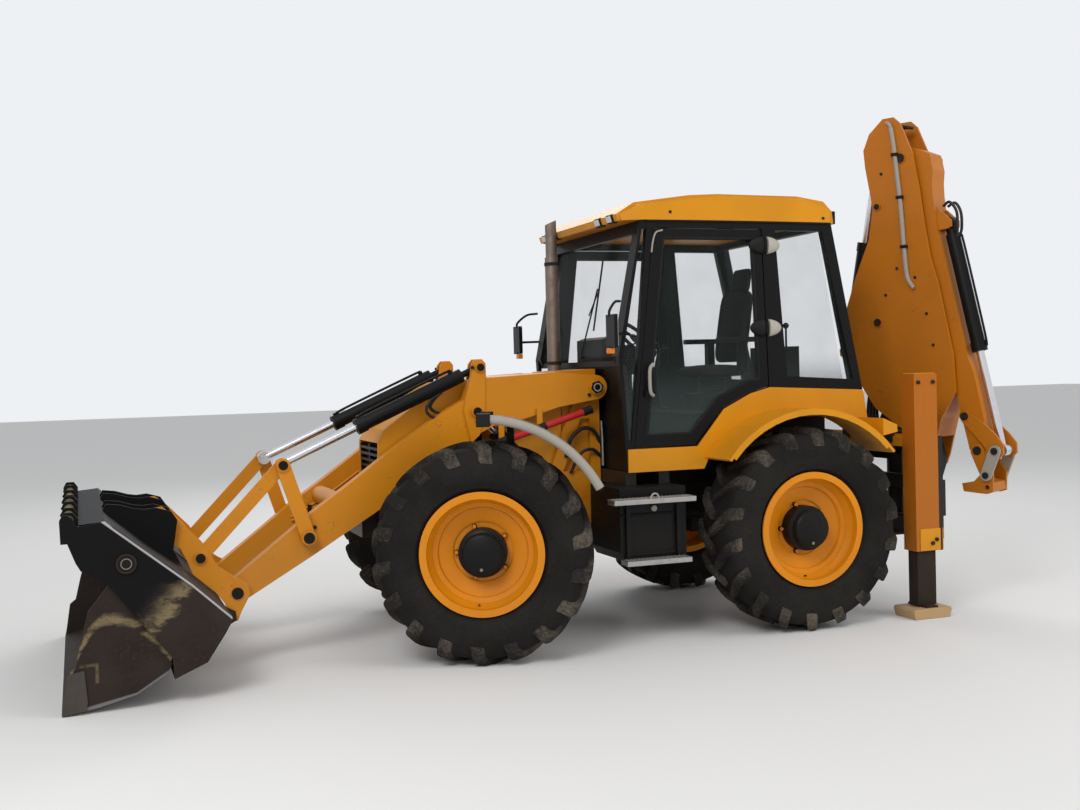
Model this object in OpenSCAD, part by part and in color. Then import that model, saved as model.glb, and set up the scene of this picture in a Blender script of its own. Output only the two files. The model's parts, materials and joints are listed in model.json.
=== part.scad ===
// Backhoe loader with four equal steered wheels, clam shovel in front and a side-shifting
// digging arm behind. Millimetres. X points forward, Y to the machine's left, Z up.
// The shovel's tip, the wheels and the stabiliser pads stand on Z = 0.

/* [Wheels] */
// Tyre outer radius over the lugs
tyre_r = 705; // [695:1:712]
// Tyre section width
tyre_w = 440; // [420:2:450]
// Rim flange radius
rim_r = 395; // [385:1:400]
// Distance between the axles
wheelbase = 2220; // [2200:5:2240]
// Wheel centre, from the middle plane
wheel_y = 955; // [950:1:965]
// Steering angle the front wheels are stored at, to the right
steer_rest = 21; // [15:1:22]
// Lugs on each side of a tyre
lugs = 18; // [14:1:22]

/* [Cab] */
// Half the width over the doors
cab_half = 820; // [810:1:830]
// Top of the roof
roof_top = 3045; // [3020:5:3080]
// Thickness of the side frames and doors
frame_t = 50; // [40:1:56]

// Inner radius of the rear fenders' arc
fender_r = 812; // [800:2:816]

/* [Loader] */
// Inner face of each arm, from the middle plane
arm_in = 350; // [346:1:354]
// Width of each arm
arm_w = 90; // [84:1:92]
// Half the width of the shovel
shovel_half = 1222; // [1205:1:1250]
// Radius of the lift and tilt barrels
ram_r = 48; // [42:1:50]
// Radius of their rods
rod_r = 26; // [22:1:30]

/* [Digging arm] */
// Sideways place of the post, from the middle plane
post_y = 300; // [250:5:330]
// Slew angle it is parked at, to the left
slew_rest = 65; // [60:1:70]
// Half the width over the boom's plates
boom_half = 145; // [140:1:150]
// Half the width of the dipper
dip_half = 95; // [90:1:98]

/* [Hidden] */
$fn = 48;
run = 0.05;
seat = 0.3;
kp_y = 700;
kp_off = wheel_y - kp_y;
post_x = -1360;
x_front = 4861;
x_rear = post_x - 880 * cos(slew_rest) - 180 * sin(slew_rest);
shift_x = -(x_front + x_rear) / 2;

// Loader pins, as [x, z]
arm_pin = [1300, 1720];
lift_base = [1480, 860];
lift_eye = [2180, 1580];
tilt_base = [2150, 1880];
lever_pin = [3350, 810];
lever_top = [3500, 1285];
tool_pin = [3810, 490];
link_eye = [4030, 730];
clam_pin = [4495, 830];
bonnet_pin = [1513, 1833];

// Digging arm pins, as [reach, z]
boom_pin = [230, 1120];
bram_base = [-95, 1400];
bram_eye = [-110, 2150];
dram_base = [-450, 1930];
dram_eye = [-165, 3470];
dip_pin = [110, 3400];
cram_base = [430, 2880];
lever2_pin = [575, 1420];
cram_eye = [815, 1165];
hitch_pin = [670, 1165];
hlink_eye = [745, 985];
lock_pin = [742, 894];

// Frames
module at() translate([shift_x, 0, 0]) children();
module both() { children(); mirror([0, 1, 0]) children(); }
module hoe() at() translate([post_x, post_y, 0]) rotate([0, 0, -slew_rest]) mirror([1, 0, 0]) children();
module hub_at(x, side, turn) at() translate([x, side * kp_y, tyre_r]) rotate([0, 0, turn])
  scale([1, side, 1]) children();

// Plates and rods in the side view
module prof(pts, y0, y1) translate([0, y1, 0]) rotate([90, 0, 0]) linear_extrude(y1 - y0) polygon(pts);
module ycyl(p, r, y0, y1) translate([p[0], y1, p[1]]) rotate([90, 0, 0]) cylinder(r = r, h = y1 - y0);
module box(x0, x1, y0, y1, z0, z1) translate([x0, y0, z0]) cube([x1 - x0, y1 - y0, z1 - z0]);
function len2(p, q) = norm(q - p);
module along(p, q, y) translate([p[0], y, p[1]])
  rotate([0, 90 - atan2(q[1] - p[1], q[0] - p[0]), 0]) children();
module strap(p, q, w, y0, y1) {
  d = (q - p) / len2(p, q);
  n = [-d[1], d[0]] * w;
  prof([p + n, q + n, q - n, p - n], y0, y1);
  ycyl(p, w, y0, y1);
  ycyl(q, w, y0, y1);
}
function ring(c, r, a0, a1, n) = [for (i = [0:n]) let (a = a0 + (a1 - a0) * i / n) c + r * [cos(a),
  sin(a)]];
module band(c, r0, r1, a0, a1, y0, y1, n = 14)
  prof(concat(ring(c, r1, a0, a1, n), ring(c, r0, a1, a0, n)), y0, y1);

// A hydraulic barrel: base eye, tube and gland, from p toward q, its middle plane at y
module barrel(p, q, y, r, length, eye_w, bore, start = 88) {
  difference() {
    union() {
      along(p, q, y) translate([0, 0, start]) cylinder(r = r, h = length - start);
      along(p, q, y) cylinder(r = eye_w / 2, h = start + 10);
      along(p, q, y) translate([0, 0, length - 70]) cylinder(r = r + 6, h = 70);
      ycyl(p, bore + 24, y - eye_w / 2, y + eye_w / 2);
    }
    along(p, q, y) translate([0, 0, start + 20]) cylinder(r = r - 9, h = length);
    ycyl(p, bore + run, y - eye_w, y + eye_w);
  }
}
// Its rod with a piston and the free eye at q
module rod(p, q, y, r, bore_r, start, eye_w, eye_r) {
  full = len2(p, q);
  along(p, q, y) translate([0, 0, start]) cylinder(r = r, h = full - start);
  along(p, q, y) translate([0, 0, start]) cylinder(r = bore_r - 9 - run, h = 40);
  ycyl(q, eye_r, y - eye_w / 2, y + eye_w / 2);
  ycyl(q, eye_r * 0.55, y - eye_w / 2 - 3, y + eye_w / 2 + 3);
}

// Chassis
stab_x0 = -1065;
stab_x1 = -870;
stab_y0 = 965;
stab_y1 = 1112;
rail = [210, 300];
module tower() {
  difference() {
    union() {
      prof([[1235, 700], [1235, 1730], [1262, 1790], [1338, 1790], [1372, 1740], [1500, 1450],
        [1640, 1060], [1640, 700]], 310, 338);
      ycyl(arm_pin, 62, 310, arm_in - 6);
    }
    prof([[1310, 1130], [1310, 1500], [1380, 1500], [1520, 1130]], 300, 345);
  }
  ycyl(arm_pin, 38, 310, arm_in + arm_w + 8);
  ycyl(arm_pin, 52, arm_in + arm_w + 6, arm_in + arm_w + 26);
  // lift ram base ears
  for (y = [arm_in + 2, arm_in + arm_w - 22])
    prof([[1240, 770], [1240, 930], [1440, 930], [1530, 905], [1545, 860], [1520, 810],
      [1440, 770]], y, y + 20);
  box(1240, 1300, 300, arm_in + arm_w - 2, 770, 930);
  ycyl(lift_base, 30, arm_in + 2, arm_in + arm_w - 2);
}
module stab_box() {
  difference() {
    box(stab_x0, stab_x1, stab_y0, stab_y1, 480, 1750);
    box(stab_x0 + 12, stab_x1 - 12, stab_y0 + 12, stab_y1 - 12, 470, 1738);
  }
  // wear pads the leg slides on
  xm = (stab_x0 + stab_x1) / 2;
  ym = (stab_y0 + stab_y1) / 2;
  for (z = [500, 1220]) {
    box(stab_x0 + 11.5, stab_x0 + 20 - seat, ym - 60, ym + 60, z, z + 60);
    box(stab_x1 - 20 + seat, stab_x1 - 11.5, ym - 60, ym + 60, z, z + 60);
    box(xm - 60, xm + 60, stab_y0 + 11.5, stab_y0 + 20 - seat, z, z + 60);
    box(xm - 60, xm + 60, stab_y1 - 20 + seat, stab_y1 - 11.5, z, z + 60);
  }
  box(stab_x0 - 24, stab_x0 + 1, ym - 80, ym + 80, 480, 640);
  for (y = [ym - 55, ym + 25]) box(stab_x0 - 75, stab_x0 - 39, y, y + 30, 720, 980);
}
module chassis() at() {
  both() {
    box(stab_x0, 2860, rail[0], rail[1], 905, 1005);
    tower();
    stab_box();
    // rail drops under the axles' seats
    box(wheelbase - 100, wheelbase + 100, rail[0], rail[1], tyre_r + 110, 905);
    box(-110, 110, rail[0], rail[1], tyre_r + 110, 905);
    // cross bearers out to the tanks and fenders
    for (b = [[560, 430 - seat], [900, 760], [1150, 760]]) {
      box(b[0], b[0] + 80, rail[0], b[1], 1045, 1135);
      box(b[0], b[0] + 80, rail[0], rail[1], 1004, 1046);
    }
    // rear plate gussets
    prof([[stab_x0, 905], [stab_x0, 1200], [stab_x0 + 100, 1200], [-560, 1005],
      [-560, 905]], rail[0], rail[0] + 30);
    box(stab_x0, stab_x0 + 50, 240, stab_y0 + 1, 905, 1005);
  }
  // rear frame: two rails the carriage slides on, and the plate between them
  r0 = stab_x0 - 40;
  box(r0, stab_x0, -stab_y1, stab_y1, 560, 700);
  box(r0, stab_x0, -stab_y1, stab_y1, 1180, 1300);
  both() box(r0, stab_x0, stab_y0, stab_y1, 690, 1190);
  box(stab_x0 - 1, stab_x0 + 25, -stab_y0 - 1, stab_y0 + 1, 600, 680);
  box(stab_x0 - 1, stab_x0 + 25, -stab_y0 - 1, stab_y0 + 1, 1200, 1280);
  // front bolster, cowl and cross members
  box(2860, 2960, -300, 300, 760, 1005);
  box(2780, 2860, -300, 300, 905, 1005);
  box(300, 380, -rail[0], rail[0], 905, 1005);
  box(1560, 1640, -rail[0], rail[0], 905, 1005);
  difference() {
    prof([[1242, 1005], [1242, 1850], [1505, 1838], [1505, 1005]], -300, 300);
    prof([[1260, 990], [1260, 1832], [1520, 1820], [1520, 990]], -284, 284);
    translate([1350, -235, 1700]) cylinder(r = 60, h = 200);
  }
  both() box(1242, 1505, 299, 311, 1060, 1130);
}

// Engine, gearbox and their shafts, plain
module engine() at() {
  box(1700, 2560, -200, 200, 1010, 1510);
  box(2660, 2740, -260, 260, 1010, 1400);
  box(2560, 2660, -60, 60, 1200, 1320);
  box(1275, 1550, -195, 195, 720, 1380);
  box(1550, 1700, -60, 60, 1100, 1220);
  box(1300, 1400, -282, -190, 1330, 1380);
  translate([190 + seat, 0, 760]) rotate([0, 90, 0]) cylinder(r = 40, h = 1090);
  translate([1540, 0, 760]) rotate([0, 90, 0]) cylinder(r = 40, h = wheelbase - 190 - seat - 1540);
}

// Axles: beam, centre casing and the yokes that hold the knuckles
module yoke() {
  difference() {
    union() {
      box(-70, 70, 560, 600, tyre_r - 200, tyre_r + 200);
      for (s = [-1, 1]) {
        box(-70, 70, 560, kp_y, tyre_r + s * 182.5 - 17.5, tyre_r + s * 182.5 + 17.5);
        translate([0, kp_y, tyre_r + s * 182.5 - 17.5]) cylinder(r = 70, h = 35);
      }
    }
    translate([0, kp_y, tyre_r - 250]) cylinder(r = 32 + run, h = 500);
  }
}
module axle(nose) {
  both() {
    translate([0, 130, tyre_r]) rotate([-90, 0, 0]) cylinder(r = 88, h = 440);
    yoke();
  }
  translate([0, -130, tyre_r]) rotate([-90, 0, 0]) cylinder(r = 88, h = 260);
  translate([0, -120, tyre_r]) rotate([-90, 0, 0]) cylinder(r = 175, h = 240);
  translate([0, 0, tyre_r]) rotate([0, nose * 90, 0]) cylinder(r1 = 130, r2 = 100, h = 190);
  both() box(-100, 100, 200, 310, tyre_r + 60, tyre_r + 110 - seat);
}
module front_axle() at() translate([wheelbase, 0, 0]) axle(-1);
module rear_axle() at() axle(1);

// Knuckles, in the wheel's own frame: the kingpin at the origin, the wheel outward
module knuckle() {
  cylinder(r = 84, h = 320, center = true);
  cylinder(r = 32, h = 420, center = true);
  rotate([-90, 0, 0]) cylinder(r = 88, h = 150);
  rotate([-90, 0, 0]) cylinder(r = 90, h = kp_off + 90);
  box(-170, 0, -45, 0, -60, 20);
}
module guard_post() {
  top = tyre_r + 130;
  box(-205, -160, -45, -10, -60, top - 135);
  box(-205, -160, -45, 120, top - 135, top - 95);
  rotate([90, 0, 0]) linear_extrude(40, center = true)
    polygon([[-205, top - 145], [-160, top - 145], [-160, top], [-205, top - 10]]);
}
module guard() {
  r = tyre_r + 150;
  translate([0, kp_off, 0]) band([0, 0], r, r + 8, 90, 153, -200, 200, 12);
  translate([0, kp_off, 0]) band([0, 0], r - 22, r, 90, 153, 192, 200, 12);
  translate([0, kp_off, 0]) band([0, 0], r - 12, r, 99, 105, -268, 150, 2);
}
module front_knuckle() { knuckle(); guard_post(); guard(); }
module knuckle_fl() hub_at(wheelbase, 1, -steer_rest) front_knuckle();
module knuckle_fr() hub_at(wheelbase, -1, -steer_rest) front_knuckle();
module knuckle_rl() hub_at(0, 1, 0) knuckle();
module knuckle_rr() hub_at(0, -1, 0) knuckle();

// Rims with planet hubs, and tyres, about the wheel's own centre and Y axis
module spun(pts) rotate([-90, 0, 0]) rotate_extrude() polygon(pts);
module rim() {
  w = tyre_w / 2 - 28;
  difference() {
    union() {
      spun([[rim_r - 45, -w], [rim_r, -w], [rim_r, -w + 14], [rim_r - 22, -w + 16], [rim_r - 22, w - 16],
        [rim_r, w - 14], [rim_r, w], [rim_r - 45, w], [rim_r - 45, 80], [190, 30], [150, 30],
          [150, -40], [190, -40],
        [rim_r - 80, 20], [rim_r - 45, 20]]);
      spun([[0, -40], [152, -40], [152, 120], [128, 128], [128, 176], [112, 188], [0, 188]]);
      for (a = [18:72:306]) rotate([0, a, 0]) translate([0, 25, 171]) rotate([-90, 0,
        0]) cylinder(r = 12, h = 36);
    }
    spun([[0, -60], [90 + run, -60], [90 + run, 92], [0, 92]]);
  }
}
module lug(side, a) rotate([0, a, 0]) translate([0, side * 112, tyre_r - 25]) rotate([0, 0, side * 38])
  cube([58, 232, 45], center = true);
module tyre() {
  r = tyre_r - 34;
  h = tyre_w / 2;
  b = h - 46;
  bore = (rim_r - 22) / cos(180 / $fn) + seat;
  spun([[bore, -b], [rim_r + 1, -b], [rim_r + 6, -b - 16], [rim_r + 40, -h + 10], [rim_r + 130, -h],
    [r - 60, -h + 4], [r - 12, -h + 26],
    [r, -h + 90], [r, h - 90], [r - 12, h - 26], [r - 60, h - 4], [rim_r + 130, h],
      [rim_r + 40, h - 10], [rim_r + 6, b + 16],
    [rim_r + 1, b], [bore, b]]);
  intersection() {
    union() for (i = [0:lugs - 1]) {
      lug(1, i * 360 / lugs);
      lug(-1, (i + 0.5) * 360 / lugs);
    }
    spun([[r - 120, -h], [tyre_r - 50, -h], [tyre_r - 15, -h + 40], [tyre_r, -h + 90], [tyre_r, h - 90],
      [tyre_r - 15, h - 40], [tyre_r - 50, h], [r - 120, h]]);
  }
}
module wheel_fl() hub_at(wheelbase, 1, -steer_rest) translate([0, kp_off, 0]) rim();
module wheel_fr() hub_at(wheelbase, -1, -steer_rest) translate([0, kp_off, 0]) rim();
module wheel_rl() hub_at(0, 1, 0) translate([0, kp_off, 0]) rim();
module wheel_rr() hub_at(0, -1, 0) translate([0, kp_off, 0]) rim();
module tyre_fl() hub_at(wheelbase, 1, -steer_rest) translate([0, kp_off, 0]) tyre();
module tyre_fr() hub_at(wheelbase, -1, -steer_rest) translate([0, kp_off, 0]) tyre();
module tyre_rl() hub_at(0, 1, 0) translate([0, kp_off, 0]) tyre();
module tyre_rr() hub_at(0, -1, 0) translate([0, kp_off, 0]) tyre();

// Side tanks with their treads
module side_tanks() at() both() {
  x0 = tyre_r + 175;
  x1 = wheelbase - tyre_r - 150;
  prof([[x0, 560], [x0, 1045 - seat], [x1, 1045 - seat], [x1, 620], [x1 - 35, 560]], 455, 960);
  box(x0, x1 + 105, 960, 1120, 955, 985);
  box(x0 + 20, x1 + 5, 960, 1080, 545, 575);
  for (x = [x0 + 50, x1 - 65]) box(x, x + 30, 960, 985, 575, 955);
  // dark panels that close the rear wheels' wells under the cab
  prof([[-560, 1010], [-560, 1485 - seat], [655 - seat, 1485 - seat], [655 - seat, 1140 - seat],
    [890, 1140 - seat], [890, 1010]], 430, 442);
}

// Cab: side frames, front and rear frames, floor
side_out = [[1240, 1140], [1285, 1930], [1095, 2850], [-400, 2850], [-640, 1650], [-560, 1500],
  [640, 1500], [700, 1140]];
door_cut = [[1186, 1300], [1008, 2800], [165, 2800], [130, 1690], [290, 1650], [500, 1550], [720, 1300]];
corner_cut = [[1206, 1350], [1226, 1350], [1258, 1925], [1090, 2790], [1056, 2790], [1138, 1950]];
quarter_cut = [[60, 2790], [-325, 2790], [-560, 1725], [-15, 1760]];
module cab_frame() at() {
  w = cab_half - frame_t;
  both() {
    difference() {
      prof(side_out, w, cab_half);
      prof(door_cut, w - 5, cab_half + 5);
      prof(corner_cut, w - 5, cab_half + 5);
      prof(quarter_cut, w - 5, cab_half + 5);
    }
    // mirror and its arm, forward of the front pillar
    translate([1215, cab_half - 2, 2068]) rotate([0, 0, 37]) cube([210, 22, 18]);
    box(1372, 1398, cab_half + 60, cab_half + 200, 1985, 2205);
  }
  v = w - seat;
  // front frame below and above the screen
  box(1168, 1204, -v, v, 1140, 1900);
  prof([[1203, 1862], [1260, 1862], [1262, 1900], [1203, 1900]], -v, v);
  both() prof([[1226, 1880], [1262, 1880], [1285, 1930], [1105, 2800], [1065, 2800],
    [1226, 1945]], w - 60, v);
  prof([[1120, 2760], [1090, 2850], [1050, 2850], [1080, 2760]], -v, v);
  // rear frame
  prof([[-560, 1520 + seat], [-640, 1650], [-595, 1650], [-520, 1520 + seat]], -v, v);
  prof([[-385, 2800], [-400, 2850], [-340, 2850], [-325, 2800]], -v, v);
  both() prof([[-640, 1650], [-400, 2850], [-355, 2850], [-595, 1650]], w - 60, v);
  // floor and rear deck
  box(700 + seat, 1168 - seat, -v, v, 1140, 1175);
  box(655, 700, -v, v, 1140, 1485 - seat);
  box(-560, 700, -v, v, 1485, 1520);
}
module cab_roof() at() {
  side = [cab_half - 60, cab_half + 12];
  prof([[1235, 2850.3], [1250, 2895], [1120, 2975], [700, roof_top - 12], [480, roof_top],
    [-160, roof_top - 3], [-380, roof_top - 35],
    [-450, 2940], [-460, 2850.3]], -side[0], side[0]);
  both() difference() {
    prof([[1215, 2850.3], [1230, 2890], [1100, 2960], [480, roof_top - 22], [-160, roof_top - 25],
      [-420, 2930], [-440, 2850.3]], side[0] - 1, side[1]);
    // the brim's corners are cut off in plan
    translate([0, 0, 2800]) linear_extrude(300) polygon([[1260, side[0] - 10], [1240, side[0]],
      [1080, side[1] + 2], [1260, side[1] + 2]]);
    translate([0, 0, 2800]) linear_extrude(300) polygon([[-460, side[0] + 20], [-380, side[1] + 2],
      [-460, side[1] + 2]]);
  }
}
module cab_glass() at() {
  y = cab_half - 14;
  both() {
    prof([[1207, 1351], [1225, 1351], [1257, 1925], [1089, 2789], [1057, 2789], [1139, 1950]], y - 6, y);
    prof([[59, 2789], [-324, 2789], [-558, 1727], [-17, 1762]], y - 6, y);
  }
  w = cab_half - frame_t - 60;
  prof([[1237, 1902], [1245, 1902], [1262, 1930], [1102, 2758], [1094, 2758],
    [1254, 1930]], -w + seat, w - seat);
  prof([[-560, 1655], [-554, 1655], [-354, 2798], [-360, 2798]], -w + seat, w - seat);
}

// Doors, hinged at their rear edges
door_out = [[1180, 1306], [1003, 2794], [171, 2794], [136, 1697], [292, 1657], [503, 1557], [723, 1306]];
door_in = [[1085, 1385], [925, 2730], [240, 2730], [208, 1745], [320, 1722], [545, 1620], [755, 1385]];
hinge_x = 150;
hinge_out = 15;
module door() {
  difference() {
    prof(door_out, cab_half - frame_t + 4, cab_half - 4);
    prof(door_in, cab_half - frame_t - 5, cab_half + 5);
  }
  // handle and hinges
  box(1030, 1100, cab_half - 4, cab_half + 22, 1650, 1690);
  box(1030, 1060, cab_half - 4, cab_half + 22, 1690, 1800);
  for (z = [2060, 2640]) {
    translate([hinge_x, cab_half + hinge_out, z]) cylinder(r = 14, h = 90);
    box(hinge_x, 240, cab_half + 3, cab_half + hinge_out, z + 15, z + 75);
    box(180, 240, cab_half - 5, cab_half + 4, z + 15, z + 75);
  }
}
module door_pane() prof([[1084, 1386], [924, 2729], [241, 2729], [209, 1746], [321, 1723], [546, 1621],
  [756, 1386]], cab_half - 24, cab_half - 18);
module door_left() at() door();
module door_right() at() mirror([0, 1, 0]) door();
module door_left_glass() at() door_pane();
module door_right_glass() at() mirror([0, 1, 0]) door_pane();

// Rear fenders with the sill under the door
module fenders() at() both() {
  c = [0, tyre_r];
  band(c, fender_r, fender_r + 20, 38, 142, cab_half + 1, 1180);
  band(c, fender_r - 22, fender_r + 1, 40, 138, 1168, 1180);
  prof(concat(ring(c, fender_r, 72, 40, 6), [[665, 1139], [1236, 1139], [1236, 1296], [712, 1296],
    [500, 1546], [290, 1646], [130, 1686],
    [-636, 1646], [-675, 1400]], ring(c, fender_r, 141, 110, 5)), cab_half + 1, cab_half + 14);
  prof([[-675, 1350], [-675, 1400], [-560, 1450], [-560, 1330]], cab_half + 1, 1180);
}

module seat() at() {
  box(-60, 360, -210, 210, 1760, 1860);
  prof([[-60, 1860], [-150, 2420], [-60, 2440], [60, 1860]], -220, 220);
  prof([[-140, 2400], [-165, 2600], [-95, 2610], [-70, 2400]], -120, 120);
  box(0, 300, -150, 150, 1520 + seat, 1641);
  translate([150, 0, 1640]) cylinder(r = 110, h = 120);
  both() box(-80, 240, 240, 300, 2020, 2060);
  both() box(0, 60, 220, 290, 1800, 2020);
}
module console() at() {
  // front console and steering wheel
  box(900, 1100, -170, 170, 1175.3, 1800);
  prof([[880, 1800], [860, 1960], [1100, 2080], [1160, 2060], [1160, 1800]], -240, 240);
  along([900, 1940], [760, 2080], 0) cylinder(r = 25, h = 120);
  translate([780, 0, 2060]) rotate([0, -45, 0]) difference() {
    union() {
      rotate_extrude() translate([180, 0]) circle(r = 14);
      cylinder(r = 50, h = 20, center = true);
      for (a = [90, 210, 330]) rotate([0, 0, a]) translate([0, -12, -7]) cube([178, 24, 14]);
    }
    translate([0, 0, 30]) cylinder(r = 10, h = 5);
  }
  // side console and rear levers
  box(-250, 500, -620, -420, 1520 + seat, 1850);
  box(-470, -330, -250, 250, 1520 + seat, 1980);
  for (y = [-180, -60, 60, 180]) {
    translate([-400, y, 1980]) cylinder(r = 8, h = 160);
    translate([-400, y, 2140]) sphere(r = 24);
  }
}
module exhaust() at() translate([1350, -235, 0]) {
  difference() {
    union() {
      translate([0, 0, 1380 + seat]) cylinder(r = 42, h = 1600);
      translate([0, 0, 1790]) cylinder(r = 50, h = 900);
    }
    translate([0, 0, 2000]) cylinder(r = 36, h = 1000);
    translate([0, 0, 3000]) rotate([0, 25, 0]) cube([300, 300, 90], center = true);
  }
}
module lamps() at() {
  both() {
    for (y = [430, 640]) translate([1255, y, 2872]) rotate([0, 90, 0]) cylinder(r = 42, h = 50);
    for (y = [430, 640]) translate([-530, y, 2905]) rotate([0, 90, 0]) cylinder(r = 42, h = 50);
    for (y = [430, 640]) box(-482, -455.6, y - 12, y + 12, 2893, 2917);
    for (y = [430, 640]) box(1246.6, 1256, y - 12, y + 12, 2862, 2884);
  }
}

// Bonnet and its grille
bon_out = [[1512, 1012], [1512, 1832], [2180, 1804], [2340, 1778], [2500, 1690], [2790, 1475],
  [2835, 1390], [2850, 1012]];
bon_in = [[1500, 1000], [1500, 1818], [2176, 1790], [2330, 1765], [2488, 1680], [2780, 1463],
  [2900, 1300], [2900, 1000]];
module bonnet() at() {
  difference() {
    prof(bon_out, -300, 300);
    prof(bon_in, -286, 286);
    both() for (i = [0:4]) box(2100 + i * 90, 2150 + i * 90, 280, 310, 1180, 1420);
  }
  // hinge barrels along the rear edge
  both() ycyl(bonnet_pin, 8 - seat, 120, 220);
}
module grille() at() {
  for (i = [0:7]) box(2800, 2830, -285.7, 285.7, 1040 + i * 42, 1058 + i * 42);
  both() box(2800, 2830, 262, 285.7, 1012, 1370);
  box(2800, 2830, -12, 12, 1012, 1370);
}

// Loader arms
arm_side = [[3830, 412], [3740, 444], [3310, 690], [2870, 955], [2530, 1160], [2240, 1350],
  [2160, 1430], [2060, 1480], [1990, 1482], [1790, 1530], [1580, 1590], [1290, 1636],
  [1290, 1804], [1570, 1832], [2105, 1806], [2105, 1905], [2130, 1935], [2180, 1935], [2205, 1905],
    [2225, 1780], [2262, 1664], [2420, 1580], [2730, 1378],
  [3110, 1105], [3330, 955], [3450, 862], [3880, 532]];
knee = [[2125, 1920], [2190, 1920], [2215, 1820], [2250, 1700], [2272, 1590], [2250, 1490],
  [2222, 1372], [2165, 1420], [2120, 1560], [2115, 1830]];
module loader_arms() at() {
  y0 = arm_in;
  y1 = arm_in + arm_w;
  both() {
    difference() {
      union() {
        prof(arm_side, y0, y1);
        ycyl(tool_pin, 80, y0, y1);
        ycyl(arm_pin, 86, y0, y1);
        prof(knee, y1, y1 + 12);
      }
      // slots for the rams' eyes
      prof([[2130, 1690], [1840, 1570], [1840, 1400], [2200, 1290], [2300, 1480],
        [2290, 1640]], y0 + 16, y1 - 16);
      prof([[2040, 1815], [2040, 1960], [2500, 1960], [2500, 1600], [2290, 1690],
        [2230, 1800]], y0 + 16, y1 - 16);
      ycyl(arm_pin, 38 + run, y0 - 5, y1 + 20);
    }
    // pins and bosses
    ycyl(lever_pin, 34, y1 - 1, y1 + 58);
    ycyl(lever_pin, 48, y1 + 62, y1 + 76);
    ycyl(lever_pin, 30, y1 + 40, y1 + 70);
    ycyl(tool_pin, 36, y1 - 1, y1 + 60);
    ycyl(lift_eye, 40, y1 + 11, y1 + 30);
    ycyl(lift_eye, 40, y0 - 8, y0 + 1);
    ycyl(tilt_base, 26, y0 + 1, y1 - 1);
    ycyl(tilt_base, 34, y1 + 11, y1 + 26);
  }
  // cross tube between the arms
  ycyl([3120, 1010], 62, -y0 - 1, y0 + 1);
  // safety strut clipped under the left arm
  strap([1370, 1560], [2040, 1360], 19, y1 + 16, y1 + 34);
  for (x = [1710, 1990]) {
    z = x < 1800 ? 1565 : 1490;
    box(x, x + 40, y1 + 11, y1 + 17, z - 125, z + 20);
    box(x, x + 40, y1 - 1, y1 + 12, z, z + 20);
  }
}
ram_y = arm_in + arm_w / 2;
eye_w = arm_w - 44;
module lift_barrels() at() both() barrel(lift_base, lift_eye, ram_y, ram_r, 800, eye_w, 30);
module lift_rods() at() both() rod(lift_base, lift_eye, ram_y, rod_r, ram_r, 200, eye_w, 46);
module tilt_barrels() at() both() barrel(tilt_base, lever_top, ram_y, ram_r, 930, eye_w, 26, 128);
module tilt_rods() at() both() rod(tilt_base, lever_top, ram_y, rod_r, ram_r, 600, eye_w, 44);
lev_y = arm_in + arm_w + 36;
module tilt_levers() at() both() {
  difference() {
    union() {
      strap(lever_pin, lever_top, 46, lev_y, lev_y + 20);
      ycyl(lever_pin, 52, lev_y - 28, lev_y);
      ycyl(lever_top, 44, lev_y + 20, lev_y + 30);
    }
    ycyl(lever_pin, 34 + run, lev_y - 40, lev_y + 22.5);
  }
  ycyl(lever_top, 24, lev_y - 30, lev_y);
}
module tilt_links() at() both() difference() {
  strap(lever_top, link_eye, 44, lev_y - 28, lev_y - 8);
  ycyl(lever_top, 24 + run, lev_y - 40, lev_y);
}

// Tool carrier: two hooked plates and the tubes between them
car_side = [[4312, 1010], [4290, 1046], [4240, 1050], [4160, 985], [4020, 835], [3985, 780],
  [3925, 670], [3830, 600], [3745, 555], [3730, 480], [3760, 425], [3790, 370],
  [3812, 318], [3850, 310], [3885, 345], [3886, 426], [3945, 509], [4078, 632], [4120, 740],
    [4150, 800], [4235, 850], [4262, 900], [4225, 918], [4215, 960], [4245, 985], [4290, 960]];
module tool_carrier() at() {
  both() {
    difference() {
      prof(car_side, lev_y, lev_y + 20);
      ycyl(tool_pin, 36 + run, lev_y - 5, lev_y + 25);
      ycyl([4252, 943], 26, lev_y - 5, lev_y + 25);
    }
    ycyl(link_eye, 40, lev_y + 20, lev_y + 30);
    ycyl([3862, 352], 22, lev_y + 20, lev_y + 44);
  }
  ycyl([4125, 850], 42, -lev_y, lev_y);
  both() difference() {
    ycyl(tool_pin, 58, lev_y - 24, lev_y);
    ycyl(tool_pin, 36 + run, lev_y - 30, lev_y + 5);
  }
  // inner hook plates
  both() prof([[4312, 1010], [4290, 1046], [4240, 1050], [4100, 925], [4075, 830], [4160, 800],
    [4235, 850], [4262, 900], [4225, 918], [4215, 960], [4245, 985], [4290, 960]], 300, 320);
}

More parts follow.
